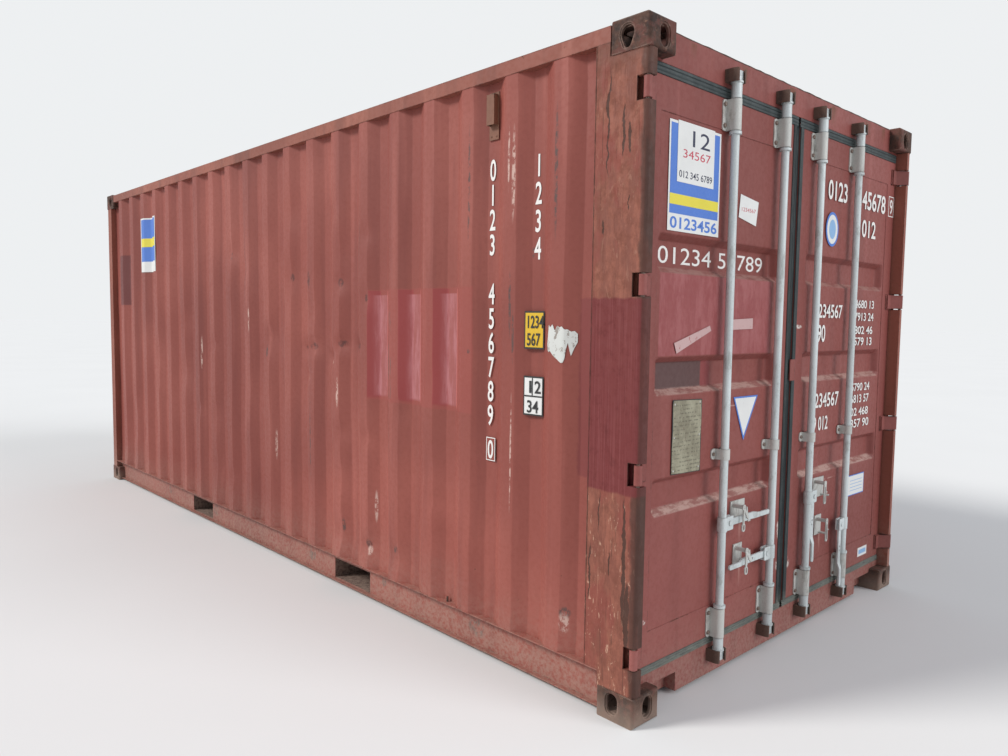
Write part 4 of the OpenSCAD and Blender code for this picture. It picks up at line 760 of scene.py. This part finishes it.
def front_wall():
    pitch = F_RIDGE + F_INNER + 2 * F_SLOPE
    first = -F_COUNT * pitch / 2 + F_INNER / 2
    starts = [first + k * pitch for k in range(F_COUNT)]
    line = folds((-FRONT_HALF, FRONT_HALF), starts, F_SLOPE, F_RIDGE, FRONT_D, 0)
    y, d, z = grid(rounded_path(line, 0.01, 4), lerp_levels(*WALL_Z, 0.05))
    dents = hills(y, z, [(0.3, 1.2, 0.08, 0.15, 0.012), (-0.6, 0.7, 0.06, 0.1, 0.01)])
    push = (np.abs(ripple(y, z, 1.8, 70.0, 0.006)) + dents) * inside(z, *WALL_Z, 0.1)
    outer, inner = (np.stack([FRONT_OUT + d + push + t, y, z], -1) for t in (0, SHEET_T))
    obj = sheet("front_wall_sheet", outer, inner, "root", "wall_front", flip=True)
    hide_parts("front_wall")


front_wall()

# ---------------------------------------------------------------- roof

ROOF_X, ROOF_Z = (-3.022, 2.865), 2.585
ROOF_EDGE, ROOF_HALF = 1.208, 1.044
ROOF_PITCH, TROUGH, TROUGH_SLOPE, TROUGH_DEEP = 0.209, 0.091, 0.0135, 0.02
TROUGH_END = 0.04


def under_plates(v):
    """True in the corners of the roof, which the corner plates cover."""
    return abs(v[1]) > 1.057 and abs(v[0]) > 2.851


def roof():
    count = math.floor((ROOF_X[1] - ROOF_X[0]) / ROOF_PITCH)
    foot = TROUGH + 2 * TROUGH_SLOPE
    first = sum(ROOF_X) / 2 - count * ROOF_PITCH / 2 + (ROOF_PITCH - foot) / 2
    line = folds(ROOF_X, [first + k * ROOF_PITCH for k in range(count)], TROUGH_SLOPE, TROUGH, 0, TROUGH_DEEP)
    ends = {s * (ROOF_HALF - e) for s in (-1, 1) for e in (0, 0.01, 0.02, 0.03, TROUGH_END)}
    rows = np.array(sorted({-ROOF_EDGE, ROOF_EDGE, *ends, *np.linspace(-0.95, 0.95, 16)}))
    x, d, y = grid(rounded_path(line, 0.008, 3), rows)
    sag = np.abs(ripple(x, y, 1.1, 90.0, 0.007)) * inside(y, -1.1, 1.1, 0.3) * inside(x, -2.9, 2.9, 0.3)
    z = ROOF_Z - d * eased(inside(y, -ROOF_HALF, ROOF_HALF, TROUGH_END)) - sag
    upper, lower = (np.stack([x, y, z - t], -1) for t in (0, SHEET_T))
    obj = sheet("roof_sheet", upper, lower, "root", "roof", hidden=under_plates)
    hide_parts("roof_panel")


roof()

# ---------------------------------------------------------------- door panels and seals

PANEL_Y, PANEL_Z, PANEL_OUT = (-1.06, -0.126), (0.318, 2.292), 2.967
BAND_H, BAND_D, BAND_SLOPE, BAND_PITCH = 0.147, 0.036, 0.024, 0.47
BAND_RIM, BAND_END = 0.004, 0.034


def tail_of(side):
    return "left" if side < 0 else "right"


def door_panel(side):
    starts = [sum(PANEL_Z) / 2 + i * BAND_PITCH - BAND_H / 2 for i in (-1, 0, 1)]
    path = rounded_path(folds(PANEL_Z, starts, BAND_SLOPE, BAND_H - 2 * BAND_SLOPE, 0, BAND_D), 0.009, 4)
    fine = [path[0]]
    for q in path[1:]:
        start = fine[-1]
        n = max(1, int((q[0] - start[0]) / 0.04))
        fine += [start + (q - start) * k / n for k in range(1, n + 1)]
    (y0, y1), (z0, z1) = PANEL_Y, PANEL_Z
    ends = (0.0, 0.006, 0.012, 0.02, 0.028, 0.036, 0.044)
    rows = np.array(sorted({*(y0 + e for e in ends), *(y1 - e for e in ends),
                            *np.linspace(y0 + 0.06, y1 - 0.06, 20)}))
    z, d, y = grid(np.array(fine), rows)
    fade = eased(inside(y, y0 + BAND_RIM, y1 - BAND_RIM, BAND_END))
    push = np.abs(ripple(y, z, 2.4, 20.0 + side, 0.005)) * inside(y, y0, y1, 0.15) * inside(z, z0, z1, 0.12)
    x = PANEL_OUT - d * fade - push
    outer, inner = (np.stack([x - t, y * -side, z], -1) for t in (0, SHEET_T))
    tail = tail_of(side)
    obj = sheet(f"panel_{tail}", outer, inner, f"door_{tail}", "door", flip=side < 0)
    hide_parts(f"door_panel_{tail}")


# Section of a seal's flange: share of its width, and height over the leaf.
LIP = ((0.0, 0.0), (0.04, 0.0045), (0.28, 0.006), (0.36, 0.0025), (0.44, 0.0055), (0.66, 0.0055), (0.74, 0.0025),
       (0.82, 0.005), (0.97, 0.004), (1.0, 0.0))
LEAF_X = 2.969


def lip(name, tail, along, ends, across):
    """The flange of the rubber on the face of a leaf: a strip with two grooves along it, an axis between two ends."""
    verts = []
    for share, height in LIP:
        place = across[0] + (across[1] - across[0]) * share
        for end in ends:
            verts.append((LEAF_X + height, end, place) if along == "y" else (LEAF_X + height, place, end))
    faces = [(2 * k, 2 * k + 1, 2 * k + 3, 2 * k + 2) for k in range(len(LIP) - 1)]
    a, b, c = (Vector(verts[i]) for i in faces[4][:3])
    if (b - a).cross(c - b).x < 0:
        faces = [f[::-1] for f in faces]
    piece(name, verts, faces, f"door_{tail}", "rubber", smooth=50)


# A seal: its box on the leaf, its box at the rim, and its section as the share between them and x.
SEAL_LEAF = (-1.16, -0.026, 0.178, 2.442)
SEAL_RIM = (-1.1695, -0.005, 0.1505, 2.4615)
SEAL_BACK, SEAL_X = 2.925, 2.963
SEAL = ((0.0, SEAL_BACK), (0.0, SEAL_X - 0.008), (0.06, SEAL_X - 0.002), (0.2, SEAL_X), (0.34, SEAL_X - 0.003),
        (0.42, SEAL_X - 0.01), (0.52, SEAL_X - 0.01), (0.6, SEAL_X - 0.003), (0.76, SEAL_X),
        (0.9, SEAL_X - 0.002),
        (0.97, SEAL_X - 0.01), (1.0, SEAL_X - 0.016), (1.0, SEAL_BACK))


def seal(side):
    """A rubber ring with two lips round a leaf, and its three flanges."""
    verts, faces = [], []
    for f, x in SEAL:
        y0, y1, z0, z1 = (a + (b - a) * f for a, b in zip(SEAL_LEAF, SEAL_RIM))
        verts += [(x, y * -side, z) for y, z in ((y0, z0), (y1, z0), (y1, z1), (y0, z1))]
    n = len(SEAL)
    for i in range(n):
        j = (i + 1) % n
        for k in range(4):
            m = (k + 1) % 4
            face = (4 * i + k, 4 * i + m, 4 * j + m, 4 * j + k)
            faces.append(face if side < 0 else face[::-1])
    tail = tail_of(side)
    obj = piece(f"seal_{tail}", verts, faces, f"door_{tail}", "rubber", smooth=50)
    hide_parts(f"door_seal_{tail}")
    wide = (side * 0.01, side * 1.15)
    lip(f"seal_lip_top_{tail}", tail, "y", wide, (2.46, 2.418))
    lip(f"seal_lip_low_{tail}", tail, "y", wide, (0.152, 0.183))
    lip(f"seal_lip_mid_{tail}", tail, "z", (0.184, 2.418), (side * 0.022, side * (0.044 if side < 0 else 0.052)))


for side in (-1, 1):
    door_panel(side)
    seal(side)

# ---------------------------------------------------------------- beads, bolts and rivets


def ring(at, axis, radius, count):
    """Points of a circle round at."""
    u = axis.orthogonal().normalized()
    v = axis.cross(u)
    turns = [2 * math.pi * k / count for k in range(count)]
    return [at + u * math.cos(a) * radius + v * math.sin(a) * radius for a in turns]


def sleeve(rings, count):
    """Faces between rings of points that follow one another."""
    return [(i * count + k, i * count + (k + 1) % count, (i + 1) * count + (k + 1) % count, (i + 1) * count + k)
            for i in range(rings - 1) for k in range(count)]


def tube(points, radius, sides=6, wobble=0.0, seed=0):
    """Vertices and faces of a tube along points, with a slightly uneven radius."""
    gen = random.Random(seed)
    pts = [Vector(p) for p in points]
    verts = []
    for i, p in enumerate(pts):
        ahead = (pts[min(i + 1, len(pts) - 1)] - pts[max(i - 1, 0)]).normalized()
        verts += ring(p, ahead, radius * (1 + wobble * gen.uniform(-1, 1)), sides)
    return verts, sleeve(len(pts), sides)


class Batch:
    """Many small shapes collected into one piece."""

    def __init__(self):
        self.verts, self.faces = [], []

    def add(self, verts, faces):
        base = len(self.verts)
        self.verts += list(verts)
        self.faces += [tuple(base + i for i in f) for f in faces]

    def weld(self, a, b, radius=0.004, step=0.012):
        """A weld bead from a to b."""
        a, b = Vector(a), Vector(b)
        n = max(2, int((b - a).length / step))
        gen = random.Random(len(self.verts))
        pts = [a.lerp(b,
                      k / n) + Vector([gen.uniform(-1, 1) * radius * 0.12 for _ in range(3)]) for k in range(n + 1)]
        self.add(*tube(pts, radius, 6, 0.22, len(self.verts)))

    def bolt(self, at, axis, radius=0.009, high=0.006, dome=False):
        """A six-sided bolt head or a domed rivet, standing on its place along axis."""
        at, axis = Vector(at), Vector(axis).normalized()
        shape = ((1, 0), (0.92, 0.45), (0.66, 0.8), (0.3, 0.98)) if dome else ((1, 0), (1, 0.75), (0.86, 1))
        count = 12 if dome else 6
        verts = [p for r, h in shape for p in ring(at + axis * h * high, axis, r * radius, count)]
        last = len(shape) - 1
        self.add(verts, sleeve(len(shape), count) + [tuple(range(last * count, (last + 1) * count))])

    def make(self, name, body, mat, smooth=35):
        piece(name, self.verts, self.faces, body, mat, smooth=smooth)


BAR_Y = {"left": (-0.6, -0.18), "right": (0.18, 0.6)}
BRACKET_X, BRACKET_Z = 2.974, (0.183, 2.289)
GUIDE_X, GUIDE_Z = 2.972, 0.966
HINGE_Z = (0.263, 0.954, 1.645, 2.336)
VENT_X, VENT_Z = 2.187, (2.465, 2.3)
OUT = (1, 0, 0)

for tail in ("left", "right"):
    heads = Batch()
    for y in BAR_Y[tail]:
        for z in BRACKET_Z:
            for dz in (0.02, 0.105):
                for s in (-1, 1):
                    heads.bolt((BRACKET_X, y + s * 0.038, z + dz), OUT, 0.0095, 0.007)
        for s in (-1, 1):
            heads.bolt((GUIDE_X, y + s * 0.037, GUIDE_Z), OUT, 0.0085, 0.006)
    heads.make(f"bracket_bolts_{tail}", f"door_{tail}", "pin")

for sy, tail in ((-1, "left"), (1, "right")):
    beads = Batch()
    y_in, y_out, y_end, x = sy * 1.106, sy * 1.152, sy * 1.1075, LEAF_X + 0.0015
    for z in HINGE_Z:
        for dz in (-0.038, 0.038):
            beads.weld((x, y_out, z + dz), (x, y_in, z + dz), 0.0042, 0.008)
        beads.weld((x, y_end, z - 0.038), (x, y_end, z + 0.038), 0.0042, 0.008)
    beads.make(f"hinge_welds_{tail}", f"door_{tail}", "hinge")

welds = Batch()
for sy in (-1, 1):
    welds.weld((2.786, sy * 1.2143, 0.18), (2.786, sy * 1.2143, 2.52), 0.0032)
    for z in (0.119, 2.472):
        welds.weld((2.852, sy * 1.2133, z), (3.02, sy * 1.2133, z), 0.004)
welds.make("post_welds", "root", "post")

roof_lip = Batch()
gen = random.Random(12)
line = [(2.9668, -1.04 + 0.04 * k, 2.5855 + gen.uniform(-0.0012, 0.0012)) for k in range(53)]
roof_lip.add(*tube(line, 0.0034, 6, 0.2, 3))
roof_lip.make("roof_edge_rear", "root", "base")

vent_heads = Batch()
for z in VENT_Z:
    for dx in (-0.016, 0.016):
        vent_heads.bolt((VENT_X + dx, -1.18, z), (0, -1, 0), 0.0045, 0.003, dome=True)
vent_heads.make("vent_rivets", "root", "vent")

# ---------------------------------------------------------------- markings


def flat(name, body, corners, mat, lift, thick=0.0004):
    """A thin flat polygon; corners are 3-D points and lift is the direction it faces."""
    lift = Vector(lift).normalized()
    base = [Vector(c) for c in corners]
    top = [p + lift * thick for p in base]
    n = len(base)
    faces = [tuple(range(n, 2 * n))] + [(k, (k + 1) % n, n + (k + 1) % n, n + k) for k in range(n)]
    normal = (top[1] - top[0]).cross(top[2] - top[1])
    if normal.dot(lift) < 0:
        faces = [f[::-1] for f in faces]
    piece(name, base + top, faces, body, mat)


LAYER = 0.0005  # one mark lies this much above the next
DOOR_X, BAND_X = 2.9692, 2.9312  # faces of a leaf and of the bottom of its bands


def on_door(name, tail, points, mat, layer=0):
    """A flat mark on a leaf; points are y and z."""
    flat(name, f"door_{tail}", [(DOOR_X + layer * LAYER, y, z) for y, z in points], mat, OUT)


def rect(y0, y1, z0, z1):
    return [(y0, z0), (y1, z0), (y1, z1), (y0, z1)]


def wall_patch(name, x0, x1, z0, z1, mat, layer=0, outline=None):
    """A patch that follows the left wall's corrugation."""
    lift = 0.0006 + layer * LAYER
    xs = np.linspace(x0, x1, max(2, int((x1 - x0) / 0.006) + 2))
    verts, faces = [], []
    for x in xs:
        lo, hi = outline(x) if outline else (z0, z1)
        y = -(wall_depth(x) + lift)
        verts += [(x, y, lo), (x, y, hi)]
    for i in range(len(xs) - 1):
        faces.append((2 * i, 2 * i + 2, 2 * i + 3, 2 * i + 1))
    piece(name, verts, faces, "root", mat, smooth=60)


def words(name, text, body, mat, place, right, height, wide=1.0, bold=0.022, fit=None):
    """Plain digits as thin flat shapes; place is the lower left corner and fit is the length of the line."""
    curve = bpy.data.curves.new(name, "FONT")
    curve.body = text
    curve.size = height / 0.7
    curve.resolution_u = 4
    curve.offset = height * bold
    holder = link(name, curve)
    mesh = bpy.data.meshes.new_from_object(holder.evaluated_get(bpy.context.evaluated_depsgraph_get()))
    bpy.data.objects.remove(holder)
    right, up = Vector(right).normalized(), Vector((0, 0, 1))
    matrix = Matrix((right, up, right.cross(up))).transposed()
    at = Vector(place)
    if fit:
        wide = fit / (max(v.co.x for v in mesh.vertices) - min(v.co.x for v in mesh.vertices))
    for v in mesh.vertices:
        v.co = at + matrix @ Vector((v.co.x * wide, v.co.y, 0.0))
    obj = link(name, mesh)
    mesh.materials.clear()
    mesh.materials.append(MATS[mat])
    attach(obj, body)


def column(name, text, x, top, pitch, height):
    """Digits one under another on the left wall."""
    y = -(wall_depth(x) + 0.0008)
    for i, mark in enumerate(text):
        if mark != " ":
            z = top - height - i * pitch
            words(f"{name}_{i}", mark, "root", "white", (x - 0.024, y, z), (1, 0, 0), height, wide=0.62)


column("digits_a", "0123 456789", 2.187, 2.203, 0.1065, 0.088)
column("digits_b", "1234", 2.465, 2.188, 0.112, 0.088)

# Two plates on the slopes beside a hollow of the left wall, a little turned.
PLATE_X0, PLATE_X1, PLATE_Y, PLATE_TURN = 2.405, 2.513, -1.193, 0.06


def plate_y(x, lift):
    return PLATE_Y + (x - PLATE_X0) * PLATE_TURN - lift


def slanted(name, x0, x1, z0, z1, mat, layer):
    """One of the flat layers of a plate."""
    corners = [(x, plate_y(x, layer * 0.0014), z) for x, z in rect(x0, x1, z0, z1)]
    flat(name, "root", corners, mat, (0, -1, 0), 0.0012 if layer == 0 else 0.0004)


def plate_words(name, text, x, z, wide, high=0.05):
    words(name, text, "root", "black", (x, plate_y(x, 0.0038), z), (1, PLATE_TURN, 0), high, fit=wide)


for name, low, high, fill in (("height_plate", 1.395, 1.551, "yellow"), ("type_plate", 1.118, 1.282, "label")):
    slanted(f"{name}_edge", PLATE_X0, PLATE_X1, low, high, "black", 0)
    slanted(f"{name}_fill", PLATE_X0 + 0.006, PLATE_X1 - 0.006, low + 0.007, high - 0.007, fill, 1)
slanted("type_plate_rule", PLATE_X0 + 0.006, PLATE_X1 - 0.006, 1.196, 1.202, "black", 2)
slanted("type_plate_stem", 2.452, 2.457, 1.202, 1.275, "black", 2)
plate_words("height_a", "1234", 2.416, 1.482, 0.086)
plate_words("height_b", "567", 2.42, 1.41, 0.072)
plate_words("type_a", "1", 2.421, 1.213, 0.012)
plate_words("type_b", "2", 2.466, 1.213, 0.034)
plate_words("type_c", "34", 2.424, 1.131, 0.062)


def jagged(edges, x0, x1):
    """Low and high edge of a torn sheet, from a list of heights spread along it."""
    low, high = zip(*edges)
    at = np.linspace(x0, x1, len(edges))
    return lambda x: (float(np.interp(x, at, low)), float(np.interp(x, at, high)))


TORN_X = (2.548, 2.694)
TORN = [(1.395, 1.42), (1.386, 1.498), (1.392, 1.486), (1.378, 1.5), (1.366, 1.47), (1.362, 1.495),
        (1.352, 1.486), (1.346, 1.492), (1.35, 1.478), (1.435, 1.48), (1.372, 1.47), (1.405, 1.474),
        (1.43, 1.462)]
wall_patch("torn_sheet", *TORN_X, 0, 0, "torn", 0, jagged(TORN, *TORN_X))
wall_patch("check_box_edge", 2.158, 2.216, 0.89, 0.994, "white", 0)
wall_patch("check_box_fill", 2.162, 2.212, 0.894, 0.99, "wall_left", 1)
words("check_digit", "0", "root", "white", (2.168, -WALL_IN - 0.0022, 0.902), (1, 0, 0), 0.08, fit=0.036)

wall_patch("wall_sticker_base", -2.154, -1.828, 1.874, 2.317, "label", 0)
wall_patch("wall_sticker_blue", -2.142, -1.84, 1.96, 2.305, "blue", 1)
wall_patch("wall_sticker_band", -2.142, -1.84, 2.08, 2.15, "lemon", 2)


def door_words(name, tail, text, y0, y1, z0, z1, mat="white", lift=0.0, bold=0.022, x=DOOR_X):
    """Digits on a leaf, in a box of y and z."""
    words(name, text, f"door_{tail}", mat, (x + lift + 0.0002, y0, z0), (0, 1, 0), z1 - z0, bold=bold, fit=y1 - y0)


def mark_leaf(tail, marks):
    """Puts marks on a leaf: an outline with its paint and layer, or digits with their box, paint, lift and weight."""
    for name, what, *how in marks:
        (door_words if isinstance(what, str) else on_door)(name, tail, what, *how)


PLATE_EDGE = [(-0.931, 0.918), (-0.86, 0.914), (-0.738, 0.911), (-0.733, 0.935), (-0.735, 1.05), (-0.731, 1.12),
              (-0.735, 1.2), (-0.8, 1.203), (-0.926, 1.207), (-0.931, 1.19), (-0.927, 1.09), (-0.932, 1.02)]
mark_leaf("left", (
    ("sticker_base", rect(-1.005, -0.65, 1.86, 2.272), "label"),
    ("sticker_blue", rect(-0.995, -0.66, 1.926, 2.262), "blue", 1),
    ("sticker_band", rect(-0.995, -0.66, 1.96, 2.0), "lemon", 2),
    ("sticker_label", rect(-0.952, -0.699, 2.047, 2.276), "label", 3),
    ("sticker_a", "12", -0.885, -0.765, 2.19, 2.252, "ink", 0.002, 0.0),
    ("sticker_b", "34567", -0.92, -0.73, 2.142, 2.174, "ink_red", 0.002, 0.0),
    ("sticker_c", "012 345 6789", -0.94, -0.712, 2.066, 2.092, "ink", 0.002, 0.01),
    ("sticker_d", "0123456", -0.99, -0.665, 1.872, 1.914, "blue", 0.0006, 0.03),
    ("label_small", [(-0.496, 1.958), (-0.352, 1.932), (-0.335, 2.036), (-0.484, 2.055)], "label"),
    ("label_digits", "1234567", -0.48, -0.365, 1.986, 2.002, "ink_red", 0.0005, 0.0),
    ("tape_a", [(-0.919, 1.391), (-0.678, 1.48), (-0.689, 1.501), (-0.937, 1.432)], "tape"),
    ("tape_b", [(-0.521, 1.484), (-0.348, 1.489), (-0.348, 1.535), (-0.524, 1.527)], "tape"),
    ("band_digits", "01234 56789", -1.012, -0.222, 1.74, 1.806, "white", 0.0, 0.0, BAND_X),
    ("triangle_edge", [(-0.394, 1.002), (-0.282, 1.195), (-0.486, 1.196)], "blue"),
    ("triangle_fill", [(-0.394, 1.022), (-0.296, 1.188), (-0.474, 1.189)], "label", 1),
    ("plate_shadow", [(-0.934, 0.914), (-0.73, 0.908), (-0.729, 1.204), (-0.934, 1.21)], "black"),
    ("plate_face", PLATE_EDGE, "plate", 1),
))
plate_heads = Batch()
for y in (-0.92, -0.745):
    for z in (0.928, 1.06, 1.192):
        plate_heads.bolt((2.9701, y, z), OUT, 0.004, 0.0022, dome=True)
plate_heads.make("plate_rivets", "door_left", "zinc_dull")

ROWS = (
    ("1234567", 0.235, 0.535, 1.547, 1.613), ("890", 0.235, 0.364, 1.428, 1.51),
    ("24680 13", 0.665, 0.948, 1.603, 1.645), ("57913 24", 0.665, 0.948, 1.536, 1.578),
    ("6802 46", 0.665, 0.942, 1.465, 1.506), ("4579 13", 0.665, 0.94, 1.404, 1.446),
    ("1234567", 0.235, 0.535, 1.098, 1.168), ("89 012", 0.235, 0.435, 0.982, 1.05),
    ("35790 24", 0.665, 0.936, 1.158, 1.2), ("46813 57", 0.665, 0.936, 1.094, 1.137),
    ("902 468", 0.665, 0.932, 1.024, 1.066), ("1357 90", 0.665, 0.932, 0.96, 1.004))
BOX = ((1.086, 1.158, 2.119, 2.124), (1.086, 1.158, 2.226, 2.231), (1.086, 1.091, 2.124, 2.226),
       (1.153, 1.158, 2.124, 2.226))
ROUND = (("edge", 0.07, 0.085, "blue"), ("fill", 0.058, 0.072, "label"), ("core", 0.036, 0.048, "sky"))
ROUND_TURNS = [k * math.pi / 16 for k in range(32)]
mark_leaf("right", (
    ("line_a", "0123", 0.334, 0.55, 2.133, 2.225),
    ("line_b", "45678", 0.737, 1.042, 2.128, 2.221),
    *((f"box_{i}", rect(*bar), "white") for i, bar in enumerate(BOX)),
    ("line_c", "9", 1.102, 1.142, 2.136, 2.214),
    ("line_d", "012", 0.745, 0.923, 1.981, 2.069),
    *((f"row_{i}", *row) for i, row in enumerate(ROWS)),
    *((f"round_{name}", [(0.394 + ry * math.cos(a), 1.986 + rz * math.sin(a)) for a in ROUND_TURNS], mat, i)
      for i, (name, ry, rz, mat) in enumerate(ROUND)),
    ("data_edge", rect(0.718, 0.921, 0.586, 0.699), "blue"),
    ("data_fill", rect(0.723, 0.916, 0.591, 0.694), "label", 1),
    *((f"data_line_{i}", rect(0.742, 0.897, 0.612 + 0.018 * i, 0.615 + 0.018 * i), "sky", 2) for i in range(4)),
    ("low_label", rect(0.886, 1.006, 0.219, 0.269), "label"),
    ("low_stripe", rect(0.9, 0.992, 0.232, 0.256), "sky", 1),
))

# ---------------------------------------------------------------- camera, light and floor

cam_data = bpy.data.cameras.new("camera")
cam = link("camera", cam_data)
cam_data.sensor_width = 36.0
cam_data.lens = 27.69
cam_data.clip_start, cam_data.clip_end = 0.05, 200.0
right = Vector((0.6832, 0.7301, 0.0132))
down = Vector((0.0627, -0.0406, -0.9972))
ahead = Vector((-0.7275, 0.6821, -0.0735))
turn = Matrix((right, -down, -ahead)).transposed().to_4x4()
cam.matrix_world = Matrix.Translation((4.71, -3.4684, 1.5094)) @ turn
bpy.context.scene.camera = cam


def ground():
    size = 900.0
    mesh = bpy.data.meshes.new("floor")
    mesh.from_pydata([(x, y, 0.0) for x in (-size, size) for y in (-size, size)], [], [(0, 2, 3, 1)])
    obj = link("floor", mesh)
    s = Shade("floor_plain")
    s.color = s.mix(s.ramp(s.noise(0.5, 3, 0.5), 0.2, 0.8), (0.722, 0.727, 0.722), (0.738, 0.743, 0.738))
    s.finish(1.0, spec=0.0)
    mesh.materials.append(s.mat)


ground()

SKY_LIGHT = (0.5, 0.52, 0.56, 1)
SKY_SEEN = (0.853, 0.87, 0.883, 1)
world = bpy.data.worlds.new("sky")
bpy.context.scene.world = world
world.use_nodes = True
tree = world.node_tree
paths = tree.nodes.new("ShaderNodeLightPath")
seen = paths.outputs["Is Camera Ray"]
for kind in ("Is Glossy Ray", "Is Transmission Ray"):
    plus = tree.nodes.new("ShaderNodeMath")
    plus.operation, plus.use_clamp = "ADD", True
    tree.links.new(seen, plus.inputs[0])
    tree.links.new(paths.outputs[kind], plus.inputs[1])
    seen = plus.outputs[0]
blend = tree.nodes.new("ShaderNodeMix")
blend.data_type = "RGBA"
blend.inputs[6].default_value = SKY_LIGHT
blend.inputs[7].default_value = SKY_SEEN
tree.links.new(seen, blend.inputs[0])
back = tree.nodes["Background"]
tree.links.new(blend.outputs[2], back.inputs["Color"])
back.inputs["Strength"].default_value = 1.0


def lamp(name, strength, color, heading, angle):
    data = bpy.data.lights.new(name, "SUN")
    data.energy, data.color, data.angle = strength, color, math.radians(angle)
    obj = link(name, data)
    obj.rotation_mode = "QUATERNION"
    obj.rotation_quaternion = Vector(heading).to_track_quat("-Z", "Y")


lamp("key", 2.5, (1.0, 0.98, 0.95), (0.42, 0.68, -0.6), 16)
lamp("fill", 1.4, (0.97, 0.98, 1.0), (-0.85, -0.3, -0.45), 30)

bpy.context.scene.view_settings.view_transform = "Standard"
